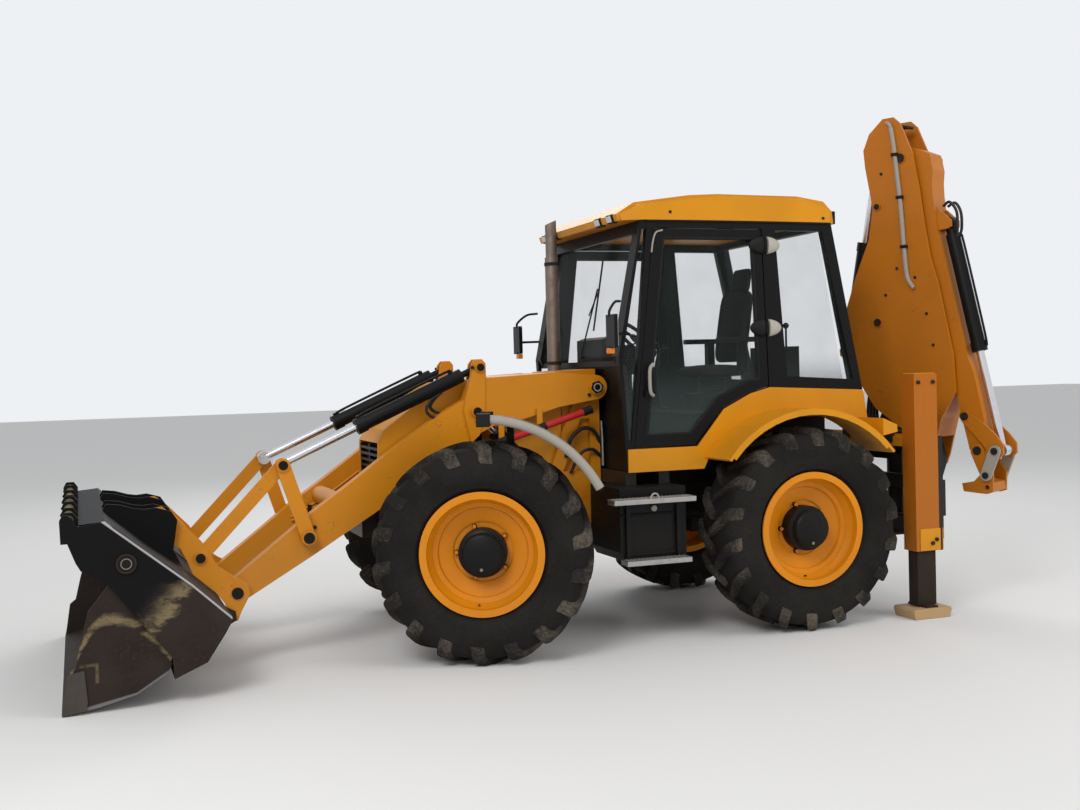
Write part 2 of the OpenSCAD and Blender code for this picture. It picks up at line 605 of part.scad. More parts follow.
// Shovel's fixed back shell
shell_side = [[4790, 1120], [4745, 1050], [4600, 1072], [4560, 1034], [4140, 684], [3925, 478],
  [3925, 455], [3965, 385], [4070, 230], [4255, 152], [4262, 275], [4335, 370], [4450, 520], [4570, 690],
  [4650, 775], [4735, 805], [4760, 850], [4800, 960], [4835, 960], [4838, 1085], [4820, 1120]];
shell_wall = [[4740, 1060], [4600, 1072], [4560, 1034], [4140, 684], [3925, 478], [3925, 455],
  [3965, 385], [4070, 230], [4255, 152],
  [4262, 176], [4086, 250], [3988, 398], [3952, 458], [4157, 664], [4577, 1014], [4608, 1045],
    [4735, 1033]];
module shovel() at() {
  s = shovel_half;
  prof(shell_wall, -s + 20, s - 20);
  both() {
    difference() {
      prof(shell_side, s - 20, s);
      ycyl(clam_pin, 40 + run, s - 40, s + 5);
    }
    // ribs behind the wall that carry the hooks' shaft, and lock eyes
    for (y = [lev_y + 48, 262]) {
      prof([[4560, 1034], [4600, 1073], [4580, 1108], [4500, 1098], [4420, 1072], [4360, 1062],
        [4290, 1068], [4200, 1040], [4165, 985], [4178, 900],
        [4195, 800], [4140, 684]], y, y + 20);
    }
    prof([[3925, 478], [3895, 420], [3830, 385], [3825, 330], [3870, 305],
      [3965, 385]], lev_y + 48, lev_y + 68);
    for (y = [40, 440, 860, 1160]) prof([[4740, 1045], [4738, 1090], [4765, 1128], [4815, 1128],
      [4838, 1085], [4790, 1040], [4740, 1033]], y - 12, y + 12);
  }
  ycyl([4252, 943], 24, -(lev_y + 49), lev_y + 49);
  ycyl([4790, 1085], 24, -s + 19, s - 19);
}
jaw_in = [[4240, 255], [4292, 185], [4460, 82], [4660, 32], [4861, 3], [4861, 20], [4830, 60],
  [4668, 62], [4470, 110], [4316, 206], [4262, 272]];
jaw_side = [[4292, 185], [4460, 82], [4660, 32], [4861, 3], [4850, 60], [4822, 236], [4782, 268],
  [4744, 425], [4704, 575], [4596, 706],
  [4545, 870], [4495, 900], [4435, 870], [4425, 800], [4440, 600], [4330, 400], [4262, 272]];
module clam_jaw() at() {
  s = shovel_half - 27;
  prof([[4292, 185], [4460, 82], [4660, 32], [4861, 3], [4861, 16], [4668, 56], [4470, 106],
    [4310, 203], [4277, 245], [4262, 240]], -s, s);
  both() {
    prof(jaw_side, s - 20, s);
    ycyl(clam_pin, 40, s - 1, s + 26);
    ycyl(clam_pin, 56, s + 32, s + 44);
    ycyl(clam_pin, 30, s + 20, s + 40);
  }
}

// Digging arm, drawn with the reach along X and mirrored into place
module side_carriage() at() translate([0, post_y, 0]) {
  c1 = stab_x0 - 40 - seat;
  c0 = c1 - 38;
  difference() {
    box(c0, c1, -330, 330, 540, 1320);
    box(c0 - 10, c1 + 10, -200, 200, 760, 1100);
  }
  for (z = [560, 1170]) difference() {
    union() {
      box(-1250, c0 - seat, -150, 150, z, z + 130);
      box(post_x, -1240, -130, 130, z, z + 130);
      translate([post_x, 0, z]) cylinder(r = 130, h = 130);
    }
    translate([post_x, 0, 500]) cylinder(r = 60 + run, h = 900);
  }
  // claws over the rails
  for (y = [-320, 240]) {
    box(c1 - 38, stab_x0 + 25, y, y + 80, 1306, 1326);
    box(stab_x0 + 31, stab_x0 + 45, y, y + 80, 1240, 1326);
    box(stab_x0 + 20, stab_x0 + 45, y, y + 80, 1306, 1326);
    box(c1 - 38, stab_x0 + 25, y, y + 80, 534, 554);
  }
}
module kingpost() hoe() {
  translate([0, 0, 545]) cylinder(r = 60, h = 780);
  difference() {
    union() {
      translate([0, 0, 700]) cylinder(r = 125, h = 460);
      prof([[0, 720], [0, 1140], [140, 1150], [150, 1205], [290, 1205], [320, 1060],
        [220, 760]], -100, 100);
    }
    ycyl(boom_pin, 45 + run, -110, 110);
  }
  // upper ears for the boom ram
  translate([0, 0, 1310]) cylinder(r = 110, h = 25);
  for (y = [-75, 45]) prof([[-150, 1310], [-155, 1400], [-135, 1445], [-95, 1460], [-55, 1445],
    [-35, 1400], [-20, 1310]], y, y + 30);
  ycyl(bram_base, 28, -75, 75);
}

boom_out = [[165, 1040], [300, 1040], [330, 1120], [400, 1400], [520, 1600], [505, 1880], [448, 2160],
  [395, 2420], [335, 2620], [292, 2880], [252, 3170], [205, 3430], [105, 3670],
  [50, 3722], [-40, 3722], [-160, 3620], [-212, 3500], [-200, 3370], [-160, 3150], [-142, 3040],
    [-180, 2800], [-310, 2500], [-395, 2260], [-375, 2050], [-325, 1880],
  [-300, 1700], [-150, 1480], [60, 1330], [165, 1312]];
// Inside of the boom's plates: the rams' side, and the recess the dipper folds into
boom_back = [[-480, 1700], [-200, 1380], [20, 1200], [100, 1000], [335, 1000], [370, 1300], [440, 1600],
  [295, 2238], [145, 2800],
  [145, 3900], [-480, 3900]];
boom_front = [[395, 1340], [470, 1600], [325, 2245], [175, 2800], [140, 2800], [140, 3900], [600, 3900],
  [600, 1500], [480, 1300]];
module boom() hoe() {
  b = boom_half;
  difference() {
    prof(boom_out, -b, b);
    prof(boom_back, -b + 20, b - 20);
    prof(boom_front, -b + 20, b - 20);
  }
  ycyl(boom_pin, 45, -b - 12, b + 12);
  ycyl(dip_pin, 40, -b - 12, b + 12);
  ycyl(dram_base, 28, -75, 75);
  for (s = [-1, 1]) prof([[-300, 1760], [-330, 1800], [-500, 1900], [-505, 1950], [-470, 1985],
    [-420, 1985], [-320, 1985], [-298, 1985]],
    s * 62.5 - 12.5, s * 62.5 + 12.5);
  prof([[-305, 1900], [-290, 1760], [-275, 1760], [-275, 1985], [-308, 1985]], -b + 19, b - 19);
  // bosses on the outer faces
  for (s = [-1, 1]) {
    ycyl(bram_eye, 40, s * (b + 5) - 6, s * (b + 5) + 6);
    ycyl([-100, 3050], 30, s * (b + 5) - 6, s * (b + 5) + 6);
  }
}
module boom_barrel() hoe() barrel(bram_base, bram_eye, 0, 62, 620, 80, 28, 70);
module boom_rod() hoe() rod(bram_base, bram_eye, 0, 34, 62, 110, 90, 52);
module dipper_barrel() hoe() barrel(dram_base, dram_eye, 0, 60, 880, 90, 28);
module dipper_rod() hoe() rod(dram_base, dram_eye, 0, 32, 60, 500, 90, 50);

module dipper() hoe() {
  d = dip_half;
  difference() {
    union() {
      prof([[-215, 3455], [-190, 3525], [-130, 3530], [60, 3490], [200, 3470], [318, 3415], [345, 3290],
        [330, 3120], [60, 3310], [-110, 3425]], -d, d);
      prof([[70, 3300], [330, 3390], [340, 3100], [372, 2830], [445, 2500], [545, 2060], [580, 1900],
        [640, 1750], [712, 1420], [735, 1180], [715, 1110], [650, 1100], [600, 1170], [545, 1400],
        [500, 1600], [350, 2250]], -d, d);
      // boss and ears for the crowd ram
      for (s = [-1, 1]) prof([[340, 2960], [372, 2990], [430, 2935], [470, 2900], [470, 2850],
        [440, 2835], [370, 2830]], s * 60 - 15, s * 60 + 15);
    }
    // fork for the dipper ram's eye
    prof([[-260, 3400], [-260, 3600], [-20, 3600], [-20, 3340], [-120, 3300]], -55, 55);
    // hollow box
    prof([[352, 2780], [490, 2200], [560, 1900], [680, 1440], [560, 1440], [385, 2200],
      [240, 2780]], -d + 16, d - 16);
    ycyl(dip_pin, 40 + run, -d - 5, d + 5);
    ycyl(hitch_pin, 32 + run, -d - 5, d + 5);
    ycyl(lever2_pin, 30 + run, -d - 5, d + 5);
  }
  ycyl(cram_base, 26, -70, 70);
}
module crowd_barrel() hoe() barrel(cram_base, cram_eye, 0, 52, 1000, 80, 26);
module crowd_rod() hoe() rod(cram_base, cram_eye, 0, 30, 52, 620, 80, 46);
lv2 = dip_half + 6;
module crowd_levers() hoe() {
  for (s = [-1, 1]) difference() {
    prof([[530, 1420], [540, 1455], [575, 1465], [620, 1440], [720, 1370], [810, 1290], [870, 1215],
      [872, 1140], [830, 1105], [780, 1115], [700, 1230], [560, 1370]],
      s * (lv2 + 10) - 10, s * (lv2 + 10) + 10);
    ycyl(cram_eye, 26 + run, s * (lv2 + 10) - 15, s * (lv2 + 10) + 15);
  }
  ycyl(lever2_pin, 30, -lv2 - 1, lv2 + 1);
}
module crowd_links() hoe() {
  for (s = [-1, 1]) {
    strap(cram_eye, hlink_eye, 42, s * (lv2 + 36) - 10, s * (lv2 + 36) + 10);
    ycyl(cram_eye, 26, s * (lv2 + 13) - 14, s * (lv2 + 13) + 14);
  }
}
module quick_hitch() hoe() {
  difference() {
    union() {
      for (s = [-1, 1]) prof([[618, 1150], [630, 1210], [690, 1220], [722, 1180], [745, 1060],
        [790, 1000], [785, 860], [740, 845], [660, 850], [560, 858], [548, 918],
        [640, 935], [690, 985], [660, 1050]], s * (lv2 + 10) - 10, s * (lv2 + 10) + 10);
      prof([[560, 858], [552, 918], [640, 935], [700, 950], [780, 930], [785, 870],
        [740, 850]], -lv2 - 1, lv2 + 1);
    }
    prof([[600, 840], [590, 880], [650, 900], [690, 840]], -lv2 + 20, lv2 - 20);
    ycyl(lock_pin, 18, -lv2 - 30, lv2 + 30);
  }
  ycyl(hitch_pin, 32, -lv2 - 1, lv2 + 1);
  for (s = [-1, 1]) ycyl(hlink_eye, 22, s * (lv2 + 22) - 3, s * (lv2 + 22) + 3);
}

// Stabiliser legs with pads
module stab_leg() {
  ym = (stab_y0 + stab_y1) / 2;
  difference() {
    box(stab_x0 + 20, stab_x1 - 20, stab_y0 + 20, stab_y1 - 20, 88, 1290);
    box(stab_x0 + 32, stab_x1 - 32, stab_y0 + 32, stab_y1 - 32, 120, 1300);
  }
  box(stab_x0 + 50, stab_x1 - 50, ym - 110, ym + 110, 60, 90);
  prof([[stab_x0 - 45, 2], [stab_x0 - 60, 60], [stab_x0 - 50, 75], [stab_x1 + 55, 75],
    [stab_x1 + 68, 60], [stab_x1 + 53, 2]], ym - 120, ym + 120);
}
module stab_leg_left() at() stab_leg();
module stab_leg_right() at() mirror([0, 1, 0]) stab_leg();

paint = [0.85, 0.5, 0.06];
dark = [0.08, 0.08, 0.09];
steel = [0.75, 0.76, 0.78];
pane = [0.6, 0.72, 0.7, 0.4];

color(paint) chassis();
color(dark) engine();
color(dark) front_axle();
color(dark) rear_axle();
color(dark) side_tanks();
color(dark) cab_frame();
color(paint) cab_roof();
color(pane) cab_glass();
color(paint) fenders();
color(dark) seat();
color(dark) console();
color(dark) exhaust();
color(steel) lamps();
color(paint) bonnet();
color(dark) grille();
color(dark) door_left();
color(pane) door_left_glass();
color(dark) door_right();
color(pane) door_right_glass();
color(dark) knuckle_fl();
color(dark) knuckle_fr();
color(dark) knuckle_rl();
color(dark) knuckle_rr();
color(paint) wheel_fl();
color(paint) wheel_fr();
color(paint) wheel_rl();
color(paint) wheel_rr();
color(dark) tyre_fl();
color(dark) tyre_fr();
color(dark) tyre_rl();
color(dark) tyre_rr();
color(paint) loader_arms();
color(dark) lift_barrels();
color(steel) lift_rods();
color(dark) tilt_barrels();
color(steel) tilt_rods();
color(paint) tilt_levers();
color(paint) tilt_links();
color(paint) tool_carrier();
color(dark) shovel();
color(dark) clam_jaw();
color(dark) side_carriage();
color(dark) kingpost();
color(paint) boom();
color(dark) boom_barrel();
color(steel) boom_rod();
color(paint) dipper();
color(dark) dipper_barrel();
color(steel) dipper_rod();
color(dark) crowd_barrel();
color(steel) crowd_rod();
color(paint) crowd_levers();
color(paint) crowd_links();
color(paint) quick_hitch();
color(dark) stab_leg_left();
color(dark) stab_leg_right();
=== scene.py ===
"""Backhoe loader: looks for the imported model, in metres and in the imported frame."""

import json
import logging
import math
from dataclasses import dataclass, field
from enum import Enum
from typing import Callable, Iterable, Optional, Sequence

import bmesh
import bpy
from mathutils import Matrix, Vector

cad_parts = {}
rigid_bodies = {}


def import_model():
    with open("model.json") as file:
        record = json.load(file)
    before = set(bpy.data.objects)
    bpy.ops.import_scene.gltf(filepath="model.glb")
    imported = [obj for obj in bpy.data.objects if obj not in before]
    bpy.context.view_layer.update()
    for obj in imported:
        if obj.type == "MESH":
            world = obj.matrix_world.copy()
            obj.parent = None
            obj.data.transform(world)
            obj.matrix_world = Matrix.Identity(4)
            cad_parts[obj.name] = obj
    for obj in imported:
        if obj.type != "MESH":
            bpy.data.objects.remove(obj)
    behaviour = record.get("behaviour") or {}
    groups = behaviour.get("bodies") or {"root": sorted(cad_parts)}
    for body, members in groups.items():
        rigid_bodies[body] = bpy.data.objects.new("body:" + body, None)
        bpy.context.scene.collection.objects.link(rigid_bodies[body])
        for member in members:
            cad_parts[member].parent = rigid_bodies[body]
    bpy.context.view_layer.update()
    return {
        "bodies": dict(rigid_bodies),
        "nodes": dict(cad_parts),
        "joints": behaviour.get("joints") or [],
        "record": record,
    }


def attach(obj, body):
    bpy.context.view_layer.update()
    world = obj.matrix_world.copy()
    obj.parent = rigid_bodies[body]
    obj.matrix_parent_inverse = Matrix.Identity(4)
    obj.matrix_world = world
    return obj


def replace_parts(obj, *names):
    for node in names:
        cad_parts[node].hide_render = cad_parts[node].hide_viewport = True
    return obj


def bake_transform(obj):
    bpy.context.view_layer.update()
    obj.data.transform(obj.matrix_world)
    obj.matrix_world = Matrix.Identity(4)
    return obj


LOG = logging.getLogger("loader")
Point = tuple[float, float, float]
Pair = tuple[float, float]
Mesh = bmesh.types.BMesh
Vert = bmesh.types.BMVert
Shape = Callable[[Mesh], None]
Place = Callable[[float, float, float], Vector]
Spot = tuple[Vector, Vector]

SHIFT = -1.48298
WHEELBASE = 2.220
AXLE_Z = 0.705
KINGPIN_Y = 0.700
KINGPIN_OFFSET = 0.255
STEER_REST = math.radians(21)
POST_X, POST_Y = -1.360, 0.300
SLEW_REST = math.radians(65)
SIDES = (1, -1)
SHARP = math.radians(40)
DOORS = (("door_left", 1), ("door_right", -1))
QUARTER_X = Matrix.Rotation(math.radians(90), 4, "X")
HEAD_LIFT = 0.45
CAMERA_REACH = 200.0


class Slot(Enum):
    """The record's material slots."""

    YELLOW = "yellow_paint"
    WORN = "worn_paint"
    BLACK = "black_paint"
    RUBBER = "tyre_rubber"
    CHROME = "rod_chrome"
    PLASTIC = "cab_plastic"
    LAMP = "lamp_glass"


def at(x: float, y: float, z: float) -> Vector:
    """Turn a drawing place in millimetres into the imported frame."""
    return Vector((x / 1000 + SHIFT, y / 1000, z / 1000))


def arm_at(reach: float, side: float, z: float) -> Vector:
    """Turn a place on the parked digging arm, in millimetres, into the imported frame.

    Args:
        reach: Distance out from the post.
        side: Distance across the arm, positive on the side the camera sees.
        z: Height.

    Returns:
        The place in metres.
    """
    c, s = math.cos(SLEW_REST), math.sin(SLEW_REST)
    x = POST_X + (-reach * c + side * s) / 1000
    y = POST_Y + (reach * s + side * c) / 1000
    return Vector((x + SHIFT, y, z / 1000))


def math_method(operation: str, swapped: bool = False) -> Callable[..., "Sock"]:
    """Make a method that adds one Math node.

    Args:
        operation: The node's operation.
        swapped: Put the other operand first.

    Returns:
        The method, for the class Sock.
    """

    def method(self: "Sock", other: object = 0.0) -> "Sock":
        """Add the node for this value and the other."""
        values = dict(enumerate((other, self) if swapped else (self, other)))
        return self.shade.value("ShaderNodeMath", {"operation": operation}, values)

    return method


class Sock:
    """A shader value that builds Math nodes when it is used in an expression."""

    __add__, __radd__ = math_method("ADD"), math_method("ADD", swapped=True)
    __sub__, __rsub__ = math_method("SUBTRACT"), math_method("SUBTRACT", swapped=True)
    __mul__, __rmul__ = math_method("MULTIPLY"), math_method("MULTIPLY", swapped=True)
    __pow__ = math_method("POWER")
    least, most = math_method("MINIMUM"), math_method("MAXIMUM")
    above, below = math_method("GREATER_THAN"), math_method("LESS_THAN")
    size = math_method("ABSOLUTE")

    def __init__(self, shade: "Shade", socket: bpy.types.NodeSocket) -> None:
        """Wrap one output socket."""
        self.shade = shade
        self.socket = socket

    def ramp(self, low: float, high: float) -> "Sock":
        """Rise smoothly from 0 at low to 1 at high."""
        limits = {"Value": self, "From Min": low, "From Max": high, "To Min": 0.0, "To Max": 1.0}
        return self.shade.value("ShaderNodeMapRange", {"interpolation_type": "SMOOTHSTEP"}, limits)


class Shade:
    """One material's node tree."""

    def __init__(self, name: str) -> None:
        """Create an empty material with a principled shader.

        Args:
            name: The material's name.
        """
        self.material = bpy.data.materials.new(name)
        self.material.use_nodes = True
        self.tree = self.material.node_tree
        self.tree.nodes.clear()
        end = self.node("ShaderNodeOutputMaterial", {}, {})
        self.bsdf = self.node("ShaderNodeBsdfPrincipled", {}, {})
        self.tree.links.new(self.bsdf.outputs[0], end.inputs[0])
        self.place = self.node("ShaderNodeTexCoord", {}, {}).outputs["Object"]

    def node(self, kind: str, settings: dict[str, object], values: dict[object, object]) -> bpy.types.Node:
        """Add a node.

        Args:
            kind: The node's type.
            settings: Properties that are set first.
            values: Input socket name or index to a number, colour, Sock or socket.

        Returns:
            The new node.
        """
        node = self.tree.nodes.new(kind)
        for key, value in settings.items():
            setattr(node, key, value)
        for key, value in values.items():
            self.feed(node.inputs[key], value)
        return node

    def value(self, kind: str, settings: dict[str, object], values: dict[object, object]) -> Sock:
        """Add a node and wrap its first output."""
        return Sock(self, self.node(kind, settings, values).outputs[0])

    def feed(self, socket: bpy.types.NodeSocket, value: object) -> None:
        """Set a socket to a plain value, or link it.

        Args:
            socket: The input socket.
            value: A number, a vector, a colour, a Sock or an output socket.
        """
        if isinstance(value, Sock):
            value = value.socket
        if isinstance(value, bpy.types.NodeSocket):
            self.tree.links.new(value, socket)
            return
        if socket.type == "RGBA" and len(value) == 3:
            value = (*value, 1.0)
        socket.default_value = value

    def noise(
        self, scale: float, detail: float = 3.0, rough: float = 0.55, stretch: Point = (1, 1, 1)
    ) -> Sock:
        """Grey noise from 0 to 1.

        Args:
            scale: Cells per metre.
            detail: Octaves.
            rough: How strong the fine octaves are.
            stretch: Scale along each axis.

        Returns:
            The noise value.
        """
        place: object = self.place
        if stretch != (1, 1, 1):
            place = self.node("ShaderNodeMapping", {}, {"Vector": place, "Scale": stretch}).outputs[0]
        values = {"Vector": place, "Scale": scale, "Detail": detail, "Roughness": rough}
        return self.value("ShaderNodeTexNoise", {}, values)

    def axes(self, vector: bpy.types.NodeSocket) -> list[Sock]:
        """Split a vector into one value an axis."""
        parts = self.node("ShaderNodeSeparateXYZ", {}, {0: vector}).outputs
        return [Sock(self, part) for part in parts]

    def drawing(self) -> tuple[Sock, Sock, Sock]:
        """Place along the drawing, distance from the middle and height, in metres."""
        x, y, z = self.axes(self.place)
        return x - SHIFT, y.size(), z

    def upward(self) -> Sock:
        """How far the surface faces up, 0 to 1."""
        return self.axes(self.node("ShaderNodeNewGeometry", {}, {}).outputs["Normal"])[2].most(0.0)

    def height(self) -> Sock:
        """Height above the floor in metres."""
        return self.axes(self.place)[2]

    def blend(self, mask: object, first: object, second: object) -> bpy.types.NodeSocket:
        """Mix two colours by a mask.

        Args:
            mask: 0 shows the first colour, 1 the second.
            first: A colour or a colour socket.
            second: A colour or a colour socket.

        Returns:
            The mixed colour's socket.
        """
        return self.node("ShaderNodeMix", {"data_type": "RGBA"}, {0: mask, 6: first, 7: second}).outputs[2]

    def bump(self, height: Sock, depth: float, strength: float) -> None:
        """Feed the shader's normal from a height value."""
        node = self.node("ShaderNodeBump", {}, {"Strength": strength, "Distance": depth, "Height": height})
        self.set(Normal=node.outputs[0])

    def set(self, **values: object) -> None:
        """Set the principled shader's sockets, with underscores for spaces."""
        for key, value in values.items():
            self.feed(self.bsdf.inputs[key.replace("_", " ")], value)


@dataclass(frozen=True)
class Paint:
    """Sprayed paint with dust on its upper faces and worn spots."""

    name: str
    colour: Point
    dust: float = 0.5
    wear: float = 0.1
    rough: float = 0.38
    shine: float = 0.28
    dust_colour: Point = (0.33, 0.26, 0.17)
    wear_colour: Point = (0.10, 0.055, 0.03)

    def make(self) -> bpy.types.Material:
        """Build the finish.

        Returns:
            The material.
        """
        s = Shade(self.name)
        broad, fine = s.noise(1.6, 4.0), s.noise(26.0, 5.0, 0.65)
        tone = tuple(c * 0.80 for c in self.colour)
        base = self.second(s, s.blend(broad.ramp(0.35, 0.75) * 0.6, self.colour, tone))
        low = 1.0 - s.height().ramp(0.2, 1.6)
        lying = s.upward() ** 2.0 * 0.8 + low * 0.45 + 0.08
        dust = (lying * (fine * 0.6 + broad * 0.9).ramp(0.45, 1.0) * self.dust).least(0.9)
        base = s.blend(dust, base, self.dust_colour)
        grain = s.noise(70.0, 3.0, 0.6) * 0.55 + s.noise(5.0, 2.0) * 0.45
        chips = grain.ramp(0.66 - self.wear * 0.5, 0.70 - self.wear * 0.35)
        base = s.blend(chips * min(1.0, self.wear * 6), base, self.wear_colour)
        s.set(Base_Color=base, Roughness=(dust * 0.45 + chips * 0.3 + self.rough + fine * 0.08).least(0.95))
        s.set(Coat_Weight=0.04, Coat_Roughness=0.25, Specular_IOR_Level=self.shine)
        s.bump(s.noise(120.0, 2.0) * 0.4 + fine * 0.6, 0.0006, 0.25)
        return s.material

    def second(self, shade: Shade, base: bpy.types.NodeSocket) -> bpy.types.NodeSocket:
        """Return the colour as it is; a paint with a second tone mixes it in here."""
        return base


@dataclass(frozen=True)
class ChassisPaint(Paint):
    """Yellow towers and stabiliser boxes over a black frame and black rear rails."""

    dark: Point = (0.008, 0.008, 0.008)
    ochre: Point = (0.41, 0.118, 0.004)
    rail_half: float = 0.3055
    rail_top: float = 1.0045
    bearer_half: float = 0.963
    bearer_front: float = 1.2345 + SHIFT
    bearer_top: float = 1.21
    slide_front: float = -1.0655 + SHIFT
    box_half: float = 0.9645
    box_front: float = -0.86 + SHIFT

    def second(self, shade: Shade, base: bpy.types.NodeSocket) -> bpy.types.NodeSocket:
        """Paint the rails, bearers and rear slide black, and the stabiliser boxes ochre.

        Args:
            shade: The node tree.
            base: The paint's colour.

        Returns:
            The colour with its second tones.
        """
        x, y, z = shade.axes(shade.place)
        side = y.size()
        rails = side.below(self.rail_half) * z.below(self.rail_top)
        bearers = side.below(self.bearer_half) * x.below(self.bearer_front) * z.below(self.bearer_top)
        stabilisers = side.above(self.box_half) * x.below(self.box_front)
        base = shade.blend(stabilisers, base, self.ochre)
        return shade.blend(rails.most(bearers).most(x.below(self.slide_front)), base, self.dark)


@dataclass(frozen=True)
class LegPaint(Paint):
    """Brown-black leg over a pad of bare, soiled steel."""

    pad: Point = (0.46, 0.30, 0.155)
    pad_top: float = 0.0765

    def second(self, shade: Shade, base: bpy.types.NodeSocket) -> bpy.types.NodeSocket:
        """Return the leg's colour, or the pad's low down."""
        return shade.blend(shade.height().below(self.pad_top), base, self.pad)


@dataclass(frozen=True)
class WornSteel:
    """Digging steel: bare and brown-grey, with straw-coloured soil and rubbed edges."""

    name: str
    paint: Point = (0.004, 0.004, 0.004)
    steel: Point = (0.034, 0.024, 0.020)
    rust: Point = (0.085, 0.060, 0.046)
    soil: Point = (0.22, 0.17, 0.09)
    bright: Point = (0.46, 0.43, 0.44)

    def make(self) -> bpy.types.Material:
        """Build the finish.

        Returns:
            The material.
        """
        s = Shade(self.name)
        broad, fine = s.noise(2.4, 5.0, 0.6), s.noise(48.0, 4.0, 0.7)
        stroke = s.noise(11.0, 6.0, 0.72, (0.55, 1.0, 1.5))
        paint, soil, edge = self.zones(s, stroke)
        steel = s.blend(broad.ramp(0.35, 0.7), self.steel, tuple(c * 0.62 for c in self.steel))
        steel = s.blend((fine * 0.6 + broad * 0.5).ramp(0.60, 0.78) * 0.35, steel, self.rust)
        base = s.blend(paint, steel, self.paint)
        base = s.blend(soil * (stroke * 0.8 + fine * 0.4).ramp(0.42, 0.68) * 0.85, base, self.soil)
        s.set(Base_Color=s.blend(edge, base, self.bright), Metallic=edge * 0.6, Specular_IOR_Level=0.12)
        s.set(Roughness=0.66 + soil * 0.3 - paint * 0.06 - edge * 0.25)
        s.bump(fine * 0.6 + stroke * 0.6, 0.0010, 0.4)
        return s.material

    def zones(self, shade: Shade, stroke: Sock) -> tuple[Sock, Sock, Sock]:
        """Say where there is paint, soil and a rubbed edge: nowhere on plain steel.

        Args:
            shade: The node tree.
            stroke: Ragged noise.

        Returns:
            Three masks from 0 to 1.
        """
        none = stroke * 0.0
        return none, none, none


@dataclass(frozen=True)
class ShellSteel(WornSteel):
    """The fixed shell: black above, a ragged band of soil, bare steel below."""

    shaft: Pair = (4.790, 1.085)
    shaft_square: float = 0.00076
    inner_half: float = 1.2005

    def zones(self, shade: Shade, stroke: Sock) -> tuple[Sock, Sock, Sock]:
        """Say where the shell has paint, soil and a rubbed edge.

        Args:
            shade: The node tree.
            stroke: Ragged noise.

        Returns:
            Three masks from 0 to 1.
        """
        x, side, z = shade.drawing()
        rag = stroke - 0.5
        above = (x - 4.156) * 0.793 + (z - 0.667) * 0.61 + rag * 0.22
        black = (z + rag * 0.16).ramp(0.665, 0.725)
        paint = black.most(above.ramp(0.05, 0.19))
        soil = above.ramp(-0.02, 0.03) * (1.0 - above.ramp(0.03, 0.13)) * (1.0 - black)
        wisps = stroke.ramp(0.56, 0.70) * above.ramp(0.0, 0.05) * (1.0 - black) * 0.55
        far = (x - self.shaft[0]) ** 2.0 + (z - self.shaft[1]) ** 2.0
        shaft = far.below(self.shaft_square) * side.below(1.2)
        upper, lower = (x - 4.560) * -0.640 + (z - 1.034) * 0.768, (x - 3.925) * -0.692 + (z - 0.478) * 0.722
        edge = upper.most(lower).ramp(-0.013, -0.008) * side.above(self.inner_half)
        return paint * (1.0 - shaft), soil.most(wisps).most(shaft), edge * (1.0 - shaft)


@dataclass(frozen=True)
class JawSteel(WornSteel):
    """The jaw: bare steel, an arc of soil on each side and a rubbed lower edge."""

    arc_top: Pair = (4.600, 0.525)
    inner_half: float = 1.193

    def zones(self, shade: Shade, stroke: Sock) -> tuple[Sock, Sock, Sock]:
        """Say where the jaw has soil and a rubbed edge.

        Args:
            shade: The node tree.
            stroke: Ragged noise.

        Returns:
            Three masks from 0 to 1.
        """
        x, side, z = shade.drawing()
        rag, past = stroke - 0.5, x - self.arc_top[0]
        fall = past**2.0 * 2.24 + past.most(0.0) ** 2.0 * 4.5
        arc = (z - self.arc_top[1] + fall + rag * 0.09).size()
        hook = ((4.668 - x).most(z - 0.272) + rag * 0.012).size()
        small = (1.0 - hook.ramp(0.003, 0.014)) * z.above(0.17) * x.below(4.76) * 0.55
        soil = (1.0 - arc.ramp(0.008, 0.040)).most(small) * side.above(self.inner_half)
        low = z - (0.185 - (x - 4.292) * 0.613).most(0.082 - (x - 4.460) * 0.197)
        return stroke * 0.0, soil, (1.0 - low.ramp(0.006, 0.016)) * 0.35


@dataclass(frozen=True)
class Rubber:
    """Tyre rubber with pale dust in the tread."""

    name: str
    colour: Point = (0.010, 0.0095, 0.009)
    dust_colour: Point = (0.27, 0.225, 0.17)
    dust: float = 0.05
    start: float = 0.45
    full: float = 0.95

    def make(self) -> bpy.types.Material:
        """Build the finish.

        Returns:
            The material.
        """
        s = Shade(self.name)
        fine, broad = s.noise(60.0, 5.0, 0.7), s.noise(3.0, 4.0)
        mask = (fine * 0.5 + broad * 0.8).ramp(self.start, self.full) * self.dust
        s.set(Base_Color=s.blend(mask, self.colour, self.dust_colour), Roughness=0.74 + mask * 0.2)
        s.set(Specular_IOR_Level=0.1)
        s.bump(fine, 0.0008, 0.3)
        return s.material


@dataclass(frozen=True)
class Metal:
    """Bare or plated metal."""

    name: str
    colour: Point
    rough: float
    dirt: float = 0.2
    dirt_colour: Point = (0.16, 0.13, 0.10)

    def make(self) -> bpy.types.Material:
        """Build the finish.

        Returns:
            The material.
        """
        s = Shade(self.name)
        mask = (s.noise(14.0, 5.0, 0.65) * 0.7 + s.noise(2.0, 2.0) * 0.4).ramp(0.5, 0.8) * self.dirt
        s.set(Base_Color=s.blend(mask, self.colour, self.dirt_colour), Metallic=1.0 - mask * 0.8)
        s.set(Roughness=self.rough + mask * 0.4)
        return s.material


